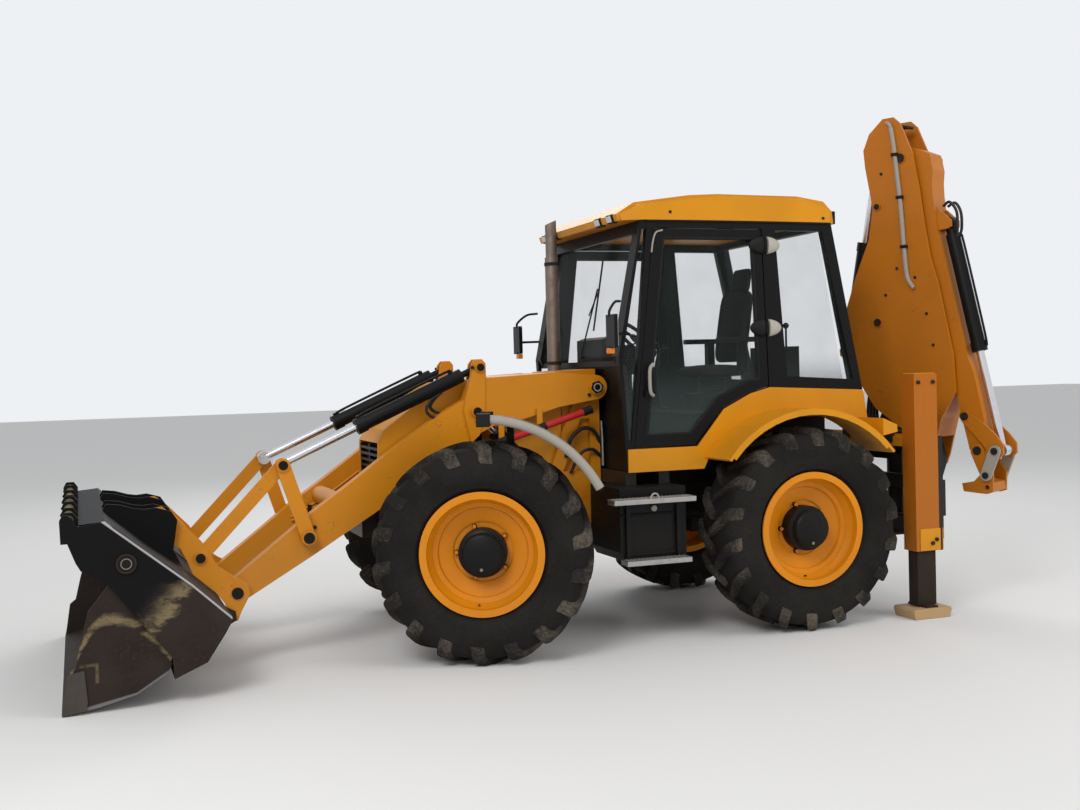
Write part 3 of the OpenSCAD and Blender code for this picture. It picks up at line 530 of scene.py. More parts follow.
@dataclass(frozen=True)
class Plain:
    """Plastic, casting, trim or a lens in one tone with a little dust."""

    name: str
    colour: Point
    rough: float = 0.55
    dust: float = 0.25
    shine: float = 0.22
    dust_colour: Point = (0.30, 0.26, 0.20)

    def make(self) -> bpy.types.Material:
        """Build the finish.

        Returns:
            The material.
        """
        s = Shade(self.name)
        fine = s.noise(22.0, 5.0, 0.65)
        mask = (s.upward() * 0.7 + 0.25) * (fine + s.noise(2.5, 3.0) * 0.5).ramp(0.5, 1.0) * self.dust
        s.set(Base_Color=s.blend(mask, self.colour, self.dust_colour), Roughness=self.rough + mask * 0.3)
        s.set(Specular_IOR_Level=self.shine)
        s.bump(fine, 0.0005, 0.2)
        return s.material


@dataclass(frozen=True)
class Pane:
    """Clear glass with a faint green-black tint that turns denser towards the bottom, and a faint patchy
    film.
    """

    name: str
    colour: Point = (0.05, 0.07, 0.065)
    alpha: float = 0.07
    clear_from: Pair = (1.35, 1.95)

    def make(self) -> bpy.types.Material:
        """Build the finish.

        Returns:
            The material.
        """
        s = Shade(self.name)
        film = s.noise(3.0, 4.0).ramp(0.35, 0.8)
        # The dark tint turns more opaque below 1.95 m, and most below 1.35 m, so the lower panes come out
        # darker.
        low = 1.0 - s.height().ramp(*self.clear_from)
        s.set(Base_Color=self.colour, Roughness=0.04, Alpha=low * 0.42 + film * 0.03 + self.alpha)
        s.set(Specular_IOR_Level=0.32)
        s.material.blend_method = "BLEND"
        return s.material


@dataclass(frozen=True)
class Floor:
    """Plain pale ground that keeps the object's shadow."""

    name: str = "pale_floor"
    colour: Point = (0.78, 0.77, 0.75)

    def make(self) -> bpy.types.Material:
        """Build the finish.

        Returns:
            The material.
        """
        s = Shade(self.name)
        s.set(Base_Color=self.colour, Roughness=0.9)
        return s.material


FINISHES: dict[str, Paint | WornSteel | Rubber | Metal | Plain | Pane] = {
    "yellow": Paint("machine_yellow", (0.66, 0.260, 0.003), dust=0.08, wear=0.02),
    "chassis": ChassisPaint("chassis_paint", (0.64, 0.232, 0.004), dust=0.14, wear=0.05),
    "arm_yellow": Paint("arm_yellow", (0.64, 0.232, 0.004), dust=0.18, wear=0.08),
    "boom_yellow": Paint("boom_yellow", (0.49, 0.152, 0.004), dust=0.14, wear=0.09),
    "rim_yellow": Paint("rim_yellow", (0.69, 0.232, 0.002), dust=0.03, wear=0.0, rough=0.42),
    "black": Paint("satin_black", (0.0045, 0.0045, 0.005), dust=0.04, wear=0.0, rough=0.40, shine=0.14),
    "frame_black": Paint("frame_black", (0.008, 0.0075, 0.007), dust=0.22, wear=0.02, rough=0.55, shine=0.14),
    "leg_paint": LegPaint("leg_paint", (0.019, 0.0105, 0.008), dust=0.10, wear=0.08, rough=0.6, shine=0.12),
    "casting": Plain("dusty_casting", (0.012, 0.011, 0.010), 0.62, 0.22, shine=0.14),
    "rubber": Rubber("tyre_black"),
    "tread": Rubber("tread_black", (0.018, 0.016, 0.014), dust=0.60, start=0.56, full=1.0),
    "chrome": Metal("rod_plate", (0.66, 0.66, 0.68), 0.20, 0.18),
    "aluminium": Metal("tread_aluminium", (0.46, 0.45, 0.43), 0.42, 0.45),
    "exhaust": Metal("exhaust_steel", (0.24, 0.19, 0.16), 0.55, 0.75),
    "pane": Pane("cab_pane"),
    "trim": Plain("cab_trim", (0.008, 0.008, 0.0085), 0.55, 0.06, shine=0.16),
    "cloth": Plain("seat_cloth", (0.020, 0.018, 0.018), 0.9, 0.08, shine=0.10),
    "hose": Plain("hose_rubber", (0.010, 0.010, 0.011), 0.5, 0.25),
    "lens": Plain("clear_lens", (0.62, 0.62, 0.58), 0.15, 0.10),
    "amber": Plain("amber_lens", (0.80, 0.20, 0.01), 0.2, 0.05),
    "red": Plain("red_cylinder", (0.48, 0.012, 0.016), 0.35, 0.15),
    "shovel": ShellSteel("shell_steel"),
    "jaw": JawSteel("jaw_steel"),
    "cutter": WornSteel("cutter_steel", steel=(0.075, 0.062, 0.054)),
    # Pale grey-brown is the real colour of the boom pipes and trim. On the black guard lips it is partly dust
    # and partly a painted highlight of the rolled edge.
    "grey_edge": Plain("guard_edge", (0.34, 0.31, 0.27), 0.6, 0.25),
    "boss": Plain("worn_boss", (0.22, 0.18, 0.14), 0.5, 0.3),
    "hinge_cap": Plain("hinge_cap", (0.42, 0.39, 0.33), 0.45, 0.10),
    "mirror": Metal("mirror_face", (0.75, 0.77, 0.78), 0.06, 0.05),
}

FINISH_NODES: dict[str, str] = {
    "chassis": "chassis",
    "casting": "engine front_axle rear_axle knuckle_fl knuckle_fr knuckle_rl knuckle_rr",
    "yellow": "cab_roof fenders bonnet",
    "pane": "cab_glass door_left_glass door_right_glass",
    "cloth": "seat",
    "trim": "console lamps",
    "exhaust": "exhaust",
    "rim_yellow": "wheel_fl wheel_fr wheel_rl wheel_rr",
    "rubber": "tyre_fl tyre_fr tyre_rl tyre_rr",
    "arm_yellow": "loader_arms tilt_levers tilt_links tool_carrier",
    "shovel": "shovel",
    "jaw": "clam_jaw",
    "frame_black": "side_carriage kingpost",
    "boom_yellow": "boom dipper crowd_levers quick_hitch",
    "chrome": "lift_rods tilt_rods boom_rod dipper_rod crowd_rod",
    "grey_edge": "crowd_links",
    "leg_paint": "stab_leg_left stab_leg_right",
}
NODE_FINISH = {node: finish for finish, nodes in FINISH_NODES.items() for node in nodes.split()}


def hexa(bm: Mesh, corners: Sequence[Vector]) -> None:
    """Add a box from its eight corners, the lower four first.

    Args:
        bm: The mesh.
        corners: The corners, each four in turn round the box.
    """
    v = [bm.verts.new(c) for c in corners]
    for face in ((0, 3, 2, 1), (4, 5, 6, 7), (0, 1, 5, 4), (1, 2, 6, 5), (2, 3, 7, 6), (3, 0, 4, 7)):
        bm.faces.new([v[i] for i in face])


def block(bm: Mesh, x: Pair, y: Pair, z: Pair, place: Place = at) -> None:
    """Add a box between two limits on each axis of a drawing frame."""
    ring = ((x[0], y[0]), (x[1], y[0]), (x[1], y[1]), (x[0], y[1]))
    hexa(bm, [place(a, b, c) for c in z for a, b in ring])


def prism(bm: Mesh, outline: Sequence[Pair], y: Pair) -> None:
    """Add a side-view outline pulled across the machine.

    Args:
        bm: The mesh.
        outline: Places along the machine and up, in millimetres.
        y: Its limits across.
    """
    low, high = ([bm.verts.new(at(px, side, pz)) for px, pz in outline] for side in y)
    bm.faces.new(low)
    bm.faces.new(high[::-1])
    for i in range(len(outline)):
        j = (i + 1) % len(outline)
        bm.faces.new((low[i], high[i], high[j], low[j]))


def loft(bm: Mesh, rings: Sequence[Sequence[Vert]]) -> None:
    """Join rings of vertices into a closed round solid.

    Args:
        bm: The mesh.
        rings: The rings in order, all with as many vertices.
    """
    for first, second in zip(rings, rings[1:]):
        for i in range(len(first)):
            j = (i + 1) % len(first)
            bm.faces.new((first[i], first[j], second[j], second[i]))
    bm.faces.new(rings[0][::-1])
    bm.faces.new(rings[-1])


def circle(bm: Mesh, centre: Vector, side: Vector, up: Vector, radius: float, sides: int) -> list[Vert]:
    """Add a ring of vertices.

    Args:
        bm: The mesh.
        centre: Its middle.
        side: Direction of its first vertex.
        up: Direction of the vertex a quarter on.
        radius: Its radius in metres.
        sides: Its number of vertices.

    Returns:
        The vertices.
    """
    turns = [2 * math.pi * i / sides for i in range(sides)]
    return [bm.verts.new(centre + (side * math.cos(a) + up * math.sin(a)) * radius) for a in turns]


def rod(bm: Mesh, start: Vector, end: Vector, radius: float, sides: int = 20, tip: float = 1.0) -> None:
    """Add a round bar between two places, metres.

    Args:
        bm: The mesh.
        start: One end.
        end: The other end.
        radius: Radius at the start.
        sides: Faces round it.
        tip: Radius at the end as a share of the radius.
    """
    axis = (end - start).normalized()
    side = axis.orthogonal().normalized()
    up = axis.cross(side)
    loft(bm, [circle(bm, c, side, up, r, sides) for c, r in ((start, radius), (end, radius * tip))])


def smooth_path(points: Sequence[Vector], steps: int) -> list[Vector]:
    """Round a row of points into a smooth path through all of them.

    Args:
        points: The points.
        steps: Steps between two points.

    Returns:
        The path.
    """
    pts = [points[0] * 2 - points[1], *points, points[-1] * 2 - points[-2]]
    out: list[Vector] = []
    for a, b, c, d in zip(pts, pts[1:], pts[2:], pts[3:]):
        for k in range(steps):
            t = k / steps
            square, cube = (2 * a - 5 * b + 4 * c - d) * t * t, (3 * b - a - 3 * c + d) * t**3
            out.append(0.5 * ((2 * b) + (c - a) * t + square + cube))
    return [*out, points[-1]]


def tube(bm: Mesh, points: Sequence[Vector], radius: float, sides: int = 10, steps: int = 8) -> None:
    """Add a round hose or pipe along a smooth path.

    Args:
        bm: The mesh.
        points: Places that it passes through.
        radius: Its radius.
        sides: Faces round it.
        steps: Rings between two points.
    """
    path = smooth_path(points, steps) if len(points) > 2 else list(points)
    normal = (path[1] - path[0]).orthogonal().normalized()
    rings = []
    for i, centre in enumerate(path):
        before, after = path[max(i - 1, 0)], path[min(i + 1, len(path) - 1)]
        axis = (after - before).normalized()
        normal = (normal - axis * normal.dot(axis)).normalized()
        rings.append(circle(bm, centre, normal, axis.cross(normal), radius, sides))
    loft(bm, rings)


def revolve(bm: Mesh, profile: Sequence[Pair], frame: Matrix, sides: int, capped: bool = False) -> None:
    """Turn an outline of radius and depth round the Y axis of a frame.

    Args:
        bm: The mesh.
        profile: Points as radius and depth along the axis.
        frame: Places the result.
        sides: Steps round the axis.
        capped: Close each end with a flat face, instead of joining the last point to the first.
    """
    rings = []
    for i in range(sides):
        a = 2 * math.pi * i / sides
        ring = [Vector((r * math.cos(a), d, r * math.sin(a))) for r, d in profile]
        rings.append([bm.verts.new(frame @ corner) for corner in ring])
    for one, two in zip(rings, rings[1:] + rings[:1]):
        for k in range(len(profile) - int(capped)):
            m = (k + 1) % len(profile)
            bm.faces.new((one[k], two[k], two[m], one[m]))
    if capped:
        for k in (0, -1):
            bm.faces.new([ring[k] for ring in rings])


def shape(draw: Callable[..., None], *values: object) -> Shape:
    """Keep a drawing function's values until there is a mesh to draw in."""
    return lambda bm: draw(bm, *values)


def bar(start: Point, end: Point, radius: float, sides: int, tip: float = 1.0, place: Place = at) -> Shape:
    """Round bar between two drawing places."""
    return shape(rod, place(*start), place(*end), radius, sides, tip)


def hose(path: Sequence[Point], radius: float, sides: int, steps: int = 8, place: Place = at) -> Shape:
    """Hose through drawing places."""
    return shape(tube, [place(*p) for p in path], radius, sides, steps)


def run(way: Iterable[Pair], y: float, radius: float, sides: int, steps: int = 8, place: Place = at) -> Shape:
    """Hose or pipe whose path lies in a side view."""
    return hose([(x, y, z) for x, z in way], radius, sides, steps, place)


def across(side: int, y: Pair) -> Pair:
    """Limits across the machine, on the left for side 1 and mirrored for side -1."""
    return min(side * y[0], side * y[1]), max(side * y[0], side * y[1])


def boxes(x: Pair, y: Pair, z: Pair, place: Place = at) -> list[Shape]:
    """Give the same box on both sides."""
    return [shape(block, x, across(s, y), z, place) for s in SIDES]


def pin_heads(rows: Iterable[tuple[float, ...]], sides: int = 28, place: Place = at) -> list[Shape]:
    """Pin heads on both sides.

    Args:
        rows: For each, its place along and up, its radius in metres, and where it starts and ends across.
        sides: Faces round each.
        place: The drawing frame.

    Returns:
        Their shapes.
    """
    rows = list(rows)
    return [bar((x, s * a, z), (x, s * b, z), r, sides, 1.0, place) for s in SIDES for x, z, r, a, b in rows]


def pin_rings(centre: Point, outer: float, inner: float, thick: float, sides: int) -> list[Shape]:
    """Flat rings on both sides.

    Args:
        centre: The left ring's drawing place.
        outer: Outer radius in metres.
        inner: Inner radius in metres.
        thick: Thickness in metres.
        sides: Steps round it.

    Returns:
        Their shapes.
    """
    x, y, z = centre
    outline = [(outer, 0.0), (outer, thick), (inner, thick), (inner, 0.0)]
    flips = [Matrix.Translation(at(x, s * y, z)) @ Matrix.Diagonal((1.0, s, 1.0, 1.0)) for s in SIDES]
    return [shape(revolve, outline, flip, sides) for flip in flips]


def outward(rows: Iterable[Point]) -> list[Spot]:
    """Places on both sides for fasteners that face out."""
    return [(at(x, s * y, z), Vector((0, s, 0))) for x, y, z in rows for s in SIDES]


def beside(start: Pair, end: Pair, along: float, lift: float) -> Pair:
    """Place beside a line in a side view.

    Args:
        start: The line's start.
        end: The line's end.
        along: Distance from its start.
        lift: Distance from the line.

    Returns:
        The place along the machine and up.
    """
    run_x, run_z = end[0] - start[0], end[1] - start[1]
    length = math.hypot(run_x, run_z)
    x = start[0] + (run_x * along - run_z * lift) / length
    return x, start[1] + (run_z * along + run_x * lift) / length


class FieldTree:
    """Geometry Nodes tree that puts one small solid at every vertex of a mesh."""

    def __init__(self, name: str, sides: int) -> None:
        """Build the tree with inputs for radius, height and material.

        Args:
            name: The tree's name.
            sides: Faces round each solid.
        """
        self.tree = bpy.data.node_groups.new(name, "GeometryNodeTree")
        self._socket("Geometry", "Geometry")
        self.radius = self._socket("Radius", "Float")
        self.height = self._socket("Height", "Float")
        self.material = self._socket("Finish", "Material")
        self._socket("Geometry", "Geometry", "OUTPUT")
        start, end = self._node("NodeGroupInput"), self._node("NodeGroupOutput")
        head = self._node("GeometryNodeMeshCylinder", fill_type="NGON")
        head.inputs["Vertices"].default_value = sides
        half = self._node("ShaderNodeMath", operation="MULTIPLY")
        half.inputs[1].default_value = HEAD_LIFT
        place, lift = self._node("ShaderNodeCombineXYZ"), self._node("GeometryNodeTransform")
        aim = self._node("GeometryNodeInputNamedAttribute", data_type="FLOAT_VECTOR")
        aim.inputs["Name"].default_value = "aim"
        turn = self._node("FunctionNodeAlignRotationToVector", axis="Z")
        copies = self._node("GeometryNodeInstanceOnPoints")
        solid, paint = self._node("GeometryNodeRealizeInstances"), self._node("GeometryNodeSetMaterial")
        for giver, output, taker, entry in (
            (start, "Radius", head, "Radius"),
            (start, "Height", head, "Depth"),
            (start, "Height", half, 0),
            (half, 0, place, 2),
            (head, "Mesh", lift, "Geometry"),
            (place, 0, lift, "Translation"),
            (aim, "Attribute", turn, "Vector"),
            (start, "Geometry", copies, "Points"),
            (lift, "Geometry", copies, "Instance"),
            (turn, "Rotation", copies, "Rotation"),
            (copies, "Instances", solid, "Geometry"),
            (solid, "Geometry", paint, "Geometry"),
            (start, "Finish", paint, "Material"),
            (paint, "Geometry", end, "Geometry"),
        ):
            self.tree.links.new(giver.outputs[output], taker.inputs[entry])

    def _socket(self, name: str, kind: str, way: str = "INPUT") -> str:
        """Add a socket to the tree's interface and return its identifier."""
        return self.tree.interface.new_socket(name, in_out=way, socket_type="NodeSocket" + kind).identifier

    def _node(self, kind: str, **settings: object) -> bpy.types.Node:
        """Add a node with its settings.

        Args:
            kind: The node's type.
            **settings: Properties that are set.

        Returns:
            The new node.
        """
        node = self.tree.nodes.new(kind)
        for key, value in settings.items():
            setattr(node, key, value)
        return node


@dataclass
class Workshop:
    """What every sub-assembly shares: finishes and fastener trees, each made once."""

    finishes: dict[str, bpy.types.Material] = field(default_factory=dict)
    trees: dict[int, FieldTree] = field(default_factory=dict)
    count: int = 0

    def finish(self, name: str) -> bpy.types.Material:
        """Give a finish's material, made on first use.

        Args:
            name: The finish.

        Returns:
            The material.
        """
        if name not in self.finishes:
            self.finishes[name] = FINISHES[name].make()
        return self.finishes[name]

    def tree(self, sides: int) -> FieldTree:
        """Give a fastener tree, made on first use.

        Args:
            sides: Faces round each head.

        Returns:
            The tree.
        """
        if sides not in self.trees:
            self.trees[sides] = FieldTree("fastener_field_%d" % sides, sides)
        return self.trees[sides]


@dataclass
class Assembly:
    """A sub-assembly: it makes its pieces, dresses them and rides them on their bodies."""

    shop: Workshop

    def add(
        self,
        name: str,
        body: str,
        finish: str,
        shapes: Iterable[Shape],
        bevel: float = 0.0,
        smooth: bool = False,
        slot: Optional[Slot] = None,
        bends_to: Optional[tuple[str, Vector, Vector]] = None,
    ) -> bpy.types.Object:
        """Make a piece and ride it on its body.

        Args:
            name: The piece's name.
            body: The body that it moves with.
            finish: Its finish.
            shapes: What it is made of.
            bevel: Edge rounding in metres.
            smooth: Shade smooth.
            slot: The record's slot, where it isn't the finish's own; not used.
            bends_to: For a hose across a joint, the other body and where the bend starts and ends; only
                whether it is given is read, and then the piece is left on no body.

        Returns:
            The new object.
        """
        mesh = bpy.data.meshes.new(name)
        bm = bmesh.new()
        for draw in shapes:
            draw(bm)
        bmesh.ops.remove_doubles(bm, verts=bm.verts, dist=1e-6)
        bmesh.ops.recalc_face_normals(bm, faces=bm.faces)
        bm.to_mesh(mesh)
        bm.free()
        obj = bpy.data.objects.new(name, mesh)
        bpy.context.scene.collection.objects.link(obj)
        mesh.materials.append(self.shop.finish(finish))
        if bevel > 0:
            mod = obj.modifiers.new("edges", "BEVEL")
            mod.width = bevel
            mod.segments = 2
            mod.limit_method = "ANGLE"
            mod.angle_limit = SHARP
        if smooth:
            for poly in mesh.polygons:
                poly.use_smooth = True
            mesh.set_sharp_from_angle(angle=SHARP)
        if bends_to is None:
            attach(obj, body)
        else:
            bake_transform(obj)
        self.file(obj, body)
        return obj

    def fasten(
        self,
        name: str,
        body: str,
        finish: str,
        spots: Sequence[Spot],
        radius: float,
        height: float,
        sides: int = 6,
    ) -> None:
        """Place bolt heads, studs or nuts by Geometry Nodes, as one plain mesh.

        Args:
            name: The piece's name.
            body: The body they sit on.
            finish: Their finish.
            spots: Places on the surface, each with its outward direction.
            radius: Head radius in metres.
            height: Head height in metres.
            sides: Faces round each head.
        """
        mesh = bpy.data.meshes.new(name + "_points")
        mesh.from_pydata([tuple(p) for p, _ in spots], [], [])
        aim = mesh.attributes.new("aim", "FLOAT_VECTOR", "POINT")
        for i, (_, direction) in enumerate(spots):
            aim.data[i].vector = direction
        holder = bpy.data.objects.new(name + "_points", mesh)
        bpy.context.scene.collection.objects.link(holder)
        tree = self.shop.tree(sides)
        mod = holder.modifiers.new("field", "NODES")
        mod.node_group = tree.tree
        material = self.shop.finish(finish)
        for key, value in ((tree.radius, radius), (tree.height, height), (tree.material, material)):
            mod[key] = value
        depsgraph = bpy.context.evaluated_depsgraph_get()
        depsgraph.update()
        result = bpy.data.meshes.new_from_object(holder.evaluated_get(depsgraph))
        result.name = name
        obj = bpy.data.objects.new(name, result)
        bpy.context.scene.collection.objects.link(obj)
        bpy.data.objects.remove(holder)
        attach(obj, body)
        self.file(obj, body)

    def file(self, obj: bpy.types.Object, body: str) -> None:
        """Count and report a finished piece.

        Args:
            obj: The piece.
            body: The body it rides on.
        """
        self.shop.count += 1
        LOG.info("piece %s on %s", obj.name, body)


def dress_nodes(frame: dict[str, object], shop: Workshop) -> None:
    """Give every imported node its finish, and the rest satin black.

    Args:
        shop: Makes the finishes.
    """
    for name, obj in frame["nodes"].items():
        finish = NODE_FINISH.get(name, "black")
        material = shop.finish(finish)
        if not obj.material_slots:
            obj.data.materials.append(material)
        for holder in obj.material_slots:
            holder.material = material
        LOG.info("node %s dressed in %s", name, finish)


@dataclass
class Wheel(Assembly):
    """One wheel: tyre, black hub cover, nuts and valve, in the wheel's own frame."""

    code: str
    side: int
    steered: bool
    radius: float = 0.705
    half: float = 0.220
    bead: float = 0.3742
    bars: int = 18
    bar_depth: float = 0.034
    bar_sweep: float = 0.235
    nut_circle: float = 0.171
    cover: tuple[Pair, ...] = (
        (0.113, 0.1905), (0.128, 0.1795), (0.1305, 0.172), (0.1305, 0.131),
        (0.138, 0.126), (0.155, 0.122), (0.156, 0.115), (0.156, 0.030),
    )
    steps: tuple[Pair, ...] = (
        (0.3496, 0.150), (0.342, 0.122), (0.325, 0.108), (0.318, 0.090), (0.290, 0.082),
        (0.281, 0.064), (0.205, 0.046), (0.193, 0.041), (0.193, 0.0332), (0.3496, 0.0815),
    )

    @property
    def frame(self) -> Matrix:
        """The wheel's own frame, whose Y points out of the hub.

        Returns:
            The frame.
        """
        x, turn = (WHEELBASE, -STEER_REST) if self.steered else (0.0, 0.0)
        kingpin = Matrix.Translation(Vector((x + SHIFT, self.side * KINGPIN_Y, AXLE_Z)))
        flip = Matrix.Diagonal((1.0, float(self.side), 1.0, 1.0))
        hub = Matrix.Translation(Vector((0, KINGPIN_OFFSET, 0)))
        return kingpin @ Matrix.Rotation(turn, 4, "Z") @ flip @ hub

    def build(self) -> None:
        """Make the wheel's pieces."""
        frame, body = self.frame, "wheel_" + self.code
        lags = ((1, 0.0), (-1, 0.5))
        bars = [shape(self.bar, s, (i + lag) / self.bars) for i in range(self.bars) for s, lag in lags]
        carcass = [shape(revolve, self.carcass(), frame, 80)]
        for name, finish, parts in (("tyre_skin_", "rubber", carcass), ("tyre_bars_", "tread", bars)):
            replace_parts(self.add(name + self.code, body, finish, parts, smooth=True), "tyre_" + self.code)
        cover = [shape(revolve, self.cover, frame, 48, True)]
        self.add("hub_cover_" + self.code, body, "black", cover, smooth=True)
        steps = [shape(revolve, self.steps, frame, 56)]
        self.add("rim_steps_" + self.code, body, "rim_yellow", steps, smooth=True)
        out = (frame.to_3x3() @ Vector((0, 1, 0))).normalized()
        nuts = [(frame @ self.ring(self.nut_circle, 0.031, 0.2 - k / 5), out) for k in range(5)]
        self.fasten("wheel_nuts_" + self.code, body, "black", nuts, 0.017, 0.022)
        plug = [(frame @ self.ring(0.095, 0.1898, 0.76), out)]
        self.fasten("hub_plug_" + self.code, body, "boss", plug, 0.011, 0.006)
        ends = [frame @ Vector(p) for p in ((0.03, 0.075, -0.334), (0.03, 0.128, -0.326))]
        self.add("valve_" + self.code, body, "trim", [shape(rod, *ends, 0.006, 10)])

    @staticmethod
    def ring(radius: float, depth: float, turn: float) -> Vector:
        """Place on a circle round the hub, as a share of one turn."""
        a = 2 * math.pi * turn
        return Vector((radius * math.cos(a), depth, radius * math.sin(a)))

    def carcass(self) -> list[Pair]:
        """Tyre outline without its bars.

        Returns:
            Radius and depth, all round.
        """
        tread, h, b = self.radius - self.bar_depth, self.half, self.bead
        right = [(b, 0.148), (b + 0.022, 0.158), (b + 0.030, 0.176), (b + 0.045, 0.196), (b + 0.048, 0.202)]
        right += [(b + 0.056, 0.202), (b + 0.062, 0.206), (b + 0.10, h - 0.007), (b + 0.14, h - 0.002)]
        right += [(b + 0.17, h - 0.002), (tread - 0.10, h - 0.004), (tread - 0.06, h - 0.010)]
        right += [(tread - 0.03, h - 0.022), (tread - 0.012, h - 0.045), (tread - 0.003, h - 0.09)]
        right += [(tread, 0.07), (tread, 0.0)]
        return right + [(r, -d) for r, d in reversed(right[:-1])]

    def bar(self, bm: Mesh, sign: int, turn: float) -> None:
        """Add one tread bar from the middle to the shoulder.

        Args:
            bm: The mesh.
            sign: Side of the tread.
            turn: Place round the tyre as a share of one turn.
        """
        rim, tread, h = self.radius, self.radius - self.bar_depth, self.half
        steps = (
            (-0.010, 0.0, rim, tread - 0.012, 0.050),
            (0.060, 0.28, rim, tread - 0.012, 0.056),
            (0.125, 0.58, rim - 0.001, tread - 0.014, 0.062),
            (0.172, 0.82, rim - 0.006, tread - 0.022, 0.068),
            (0.196, 0.95, rim - 0.017, tread - 0.034, 0.071),
            (h - 0.008, 1.03, rim - 0.036, tread - 0.075, 0.072),
            (h - 0.001, 1.08, rim - 0.075, tread - 0.095, 0.060),
        )
        rows = []
        for depth, sweep, top, low, width in steps:
            centre = turn + self.bar_sweep * sweep / (2 * math.pi)
            edges = ((-0.62, low), (-0.46, top), (0.46, top), (0.62, low))
            turns = [(r, centre + share * width / r / (2 * math.pi)) for share, r in edges]
            rows.append([bm.verts.new(self.frame @ self.ring(r, sign * depth, a)) for r, a in turns])
        loft(bm, rows)


@dataclass
class Guards(Assembly):
    """Rolled lips and brackets of the front mudguards."""

    radius: float = 0.848
    edge: float = 0.196
    first: float = 92.0
    last: float = 152.0

    def build(self) -> None:
        """Make both sides."""
        turns = [(self.first + (self.last - self.first) * i / 12) / 360 for i in range(13)]
        for code, side in (("fl", 1), ("fr", -1)):
            frame = Wheel(self.shop, code, side, True).frame
            lips, brackets = [], []
            for d, thick in ((self.edge, 0.029), (-self.edge, 0.016)):
                path = [frame @ Wheel.ring(self.radius, d, turn) for turn in turns]
                lips.append(shape(tube, path, thick, 14, 3))
            for d0, d1 in ((0.150, 0.236), (-0.216, -0.150)):
                ring = ((-0.075, d0), (0.012, d0), (0.012, d1), (-0.075, d1))
                corners = [frame @ Vector((a, b, z)) for z in (0.800, 0.884) for a, b in ring]
                brackets.append(shape(hexa, corners))
            body = "knuckle_" + code
            # The black lips take the pale grey finish: partly dust, partly a painted highlight along the
            # rolled edge.
            self.add("guard_lip_" + code, body, "grey_edge", lips, smooth=True, slot=Slot.BLACK)
            self.add("guard_bracket_" + code, body, "trim", brackets, bevel=0.006)


@dataclass
class Loader(Assembly):
    """Extras of the loader arms: safety strut, pin heads, hoses and pipes."""

    arm_in: float = 350
    arm_out: float = 440
    ram_y: float = 395

    def build(self) -> None:
        """Make every extra."""
        self.strut()
        self.pins()
        self.pipes()
        self.hoses()
        self.ports()

    def strut(self) -> None:
        """Red safety strut clipped under the left arm."""
        y = self.arm_out + 25
        red = ((1410, 1548, 1690, 1464.5, 0.024), (1755, 1445, 1960, 1384, 0.024))
        dark = [(1345, 1567, 1410, 1548, 0.029), (1690, 1464.5, 1755, 1445, 0.027)]
        dark += [(1960, 1384, 2060, 1354, 0.029)]
        for name, finish, rows in (("red", "red", red), ("ends", "trim", dark)):
            bars = [bar((a, y, b), (c, y, d), r, 24) for a, b, c, d, r in rows]
            self.add("safety_strut_" + name, "arms", finish, bars, smooth=True)

    def pins(self) -> None:
        """Dark pin heads with their keeper bolts."""
        arm = [(2180, 1580, 0.030, 470, 476), (2150, 1880, 0.026, 466, 473), (3350, 810, 0.036, 516, 524)]
        carrier = [(3810, 490, 0.037, 496, 506), (4030, 730, 0.030, 506, 514)]
        pivot = pin_heads([(1300, 1720, 0.046, 466, 476)], 6)
        self.add("arm_pin_heads", "arms", "black", pivot + pin_heads(arm))
        self.add("arm_pin_rings", "arms", "grey_edge", pin_rings((1300, 476, 1720), 0.030, 0.022, 0.004, 32))
        self.add("carrier_pin_heads", "shovel", "black", pin_heads(carrier))
        self.add("lever_pin_heads", "tilt_lever", "black", pin_heads([(3500, 1285, 0.030, 506, 514)]))
        rows = ((2180, 452, 1512), (2205, 452, 1880), (3300, 440, 870), (1352, 440, 1668))
        self.fasten("arm_keeper_bolts", "arms", "casting", outward(rows), 0.013, 0.012)

    def pipes(self) -> None:
        """Steel pipes along the arms' inner faces to the shovel."""
        way = ((2140, 1590), (2330, 1500), (2700, 1255), (3060, 1010), (3330, 860))
        y = self.arm_in - 12
        runs = [run([(x, z - d) for x, z in way], s * y, 0.009, 10, 4) for s in SIDES for d in (0, 26)]
        self.add("arm_pipes", "arms", "arm_yellow", runs, smooth=True)
        clips = []
        for x, z in ((2330, 1487), (2700, 1242), (3200, 912)):
            clips += boxes((x - 14, x + 14), (self.arm_in - 24, self.arm_in + 1), (z - 30, z + 28))
        self.add("arm_pipe_clips", "arms", "trim", clips)

    def hoses(self) -> None:
        """Hose loops from the arms to the tilt barrels."""
        for s, name in zip(SIDES, ("left", "right")):
            for k in range(2):
                path = [(2310 + 60 * k, 1615 - 40 * k), (2400 + 50 * k, 1575 - 30 * k)]
                path += [(2480 + 40 * k, 1610 - 20 * k), (2465 + 30 * k, 1662), (2400 + 20 * k, 1722 - 9 * k)]
                loop = run(path, s * (self.ram_y + (18 if k else -22)), 0.011, 10, 6)
                way = ("tilt_barrel", at(2330, s * self.ram_y, 1600), at(2420, s * self.ram_y, 1735))
                self.add("tilt_hose_%s_%d" % (name, k), "arms", "hose", [loop], smooth=True, bends_to=way)

    def ports(self) -> None:
        """Oil pipe and ports on each tilt barrel."""
        ram = ((2150, 1880), (3500, 1285))
        parts: list[Shape] = []
        for s in SIDES:
            y = s * self.ram_y
            path = [beside(*ram, *p) for p in ((190, 60), (230, 66), (700, 66), (860, 62), (885, 52))]
            parts.append(run(path, y, 0.009, 10, 3))
            for along in (190, 885):
                (ax, az), (bx, bz) = (beside(*ram, along, lift) for lift in (40, 66))
                parts.append(bar((ax, y, az), (bx, y, bz), 0.017, 12))
        self.add("tilt_barrel_pipes", "tilt_barrel", "black", parts, smooth=True)


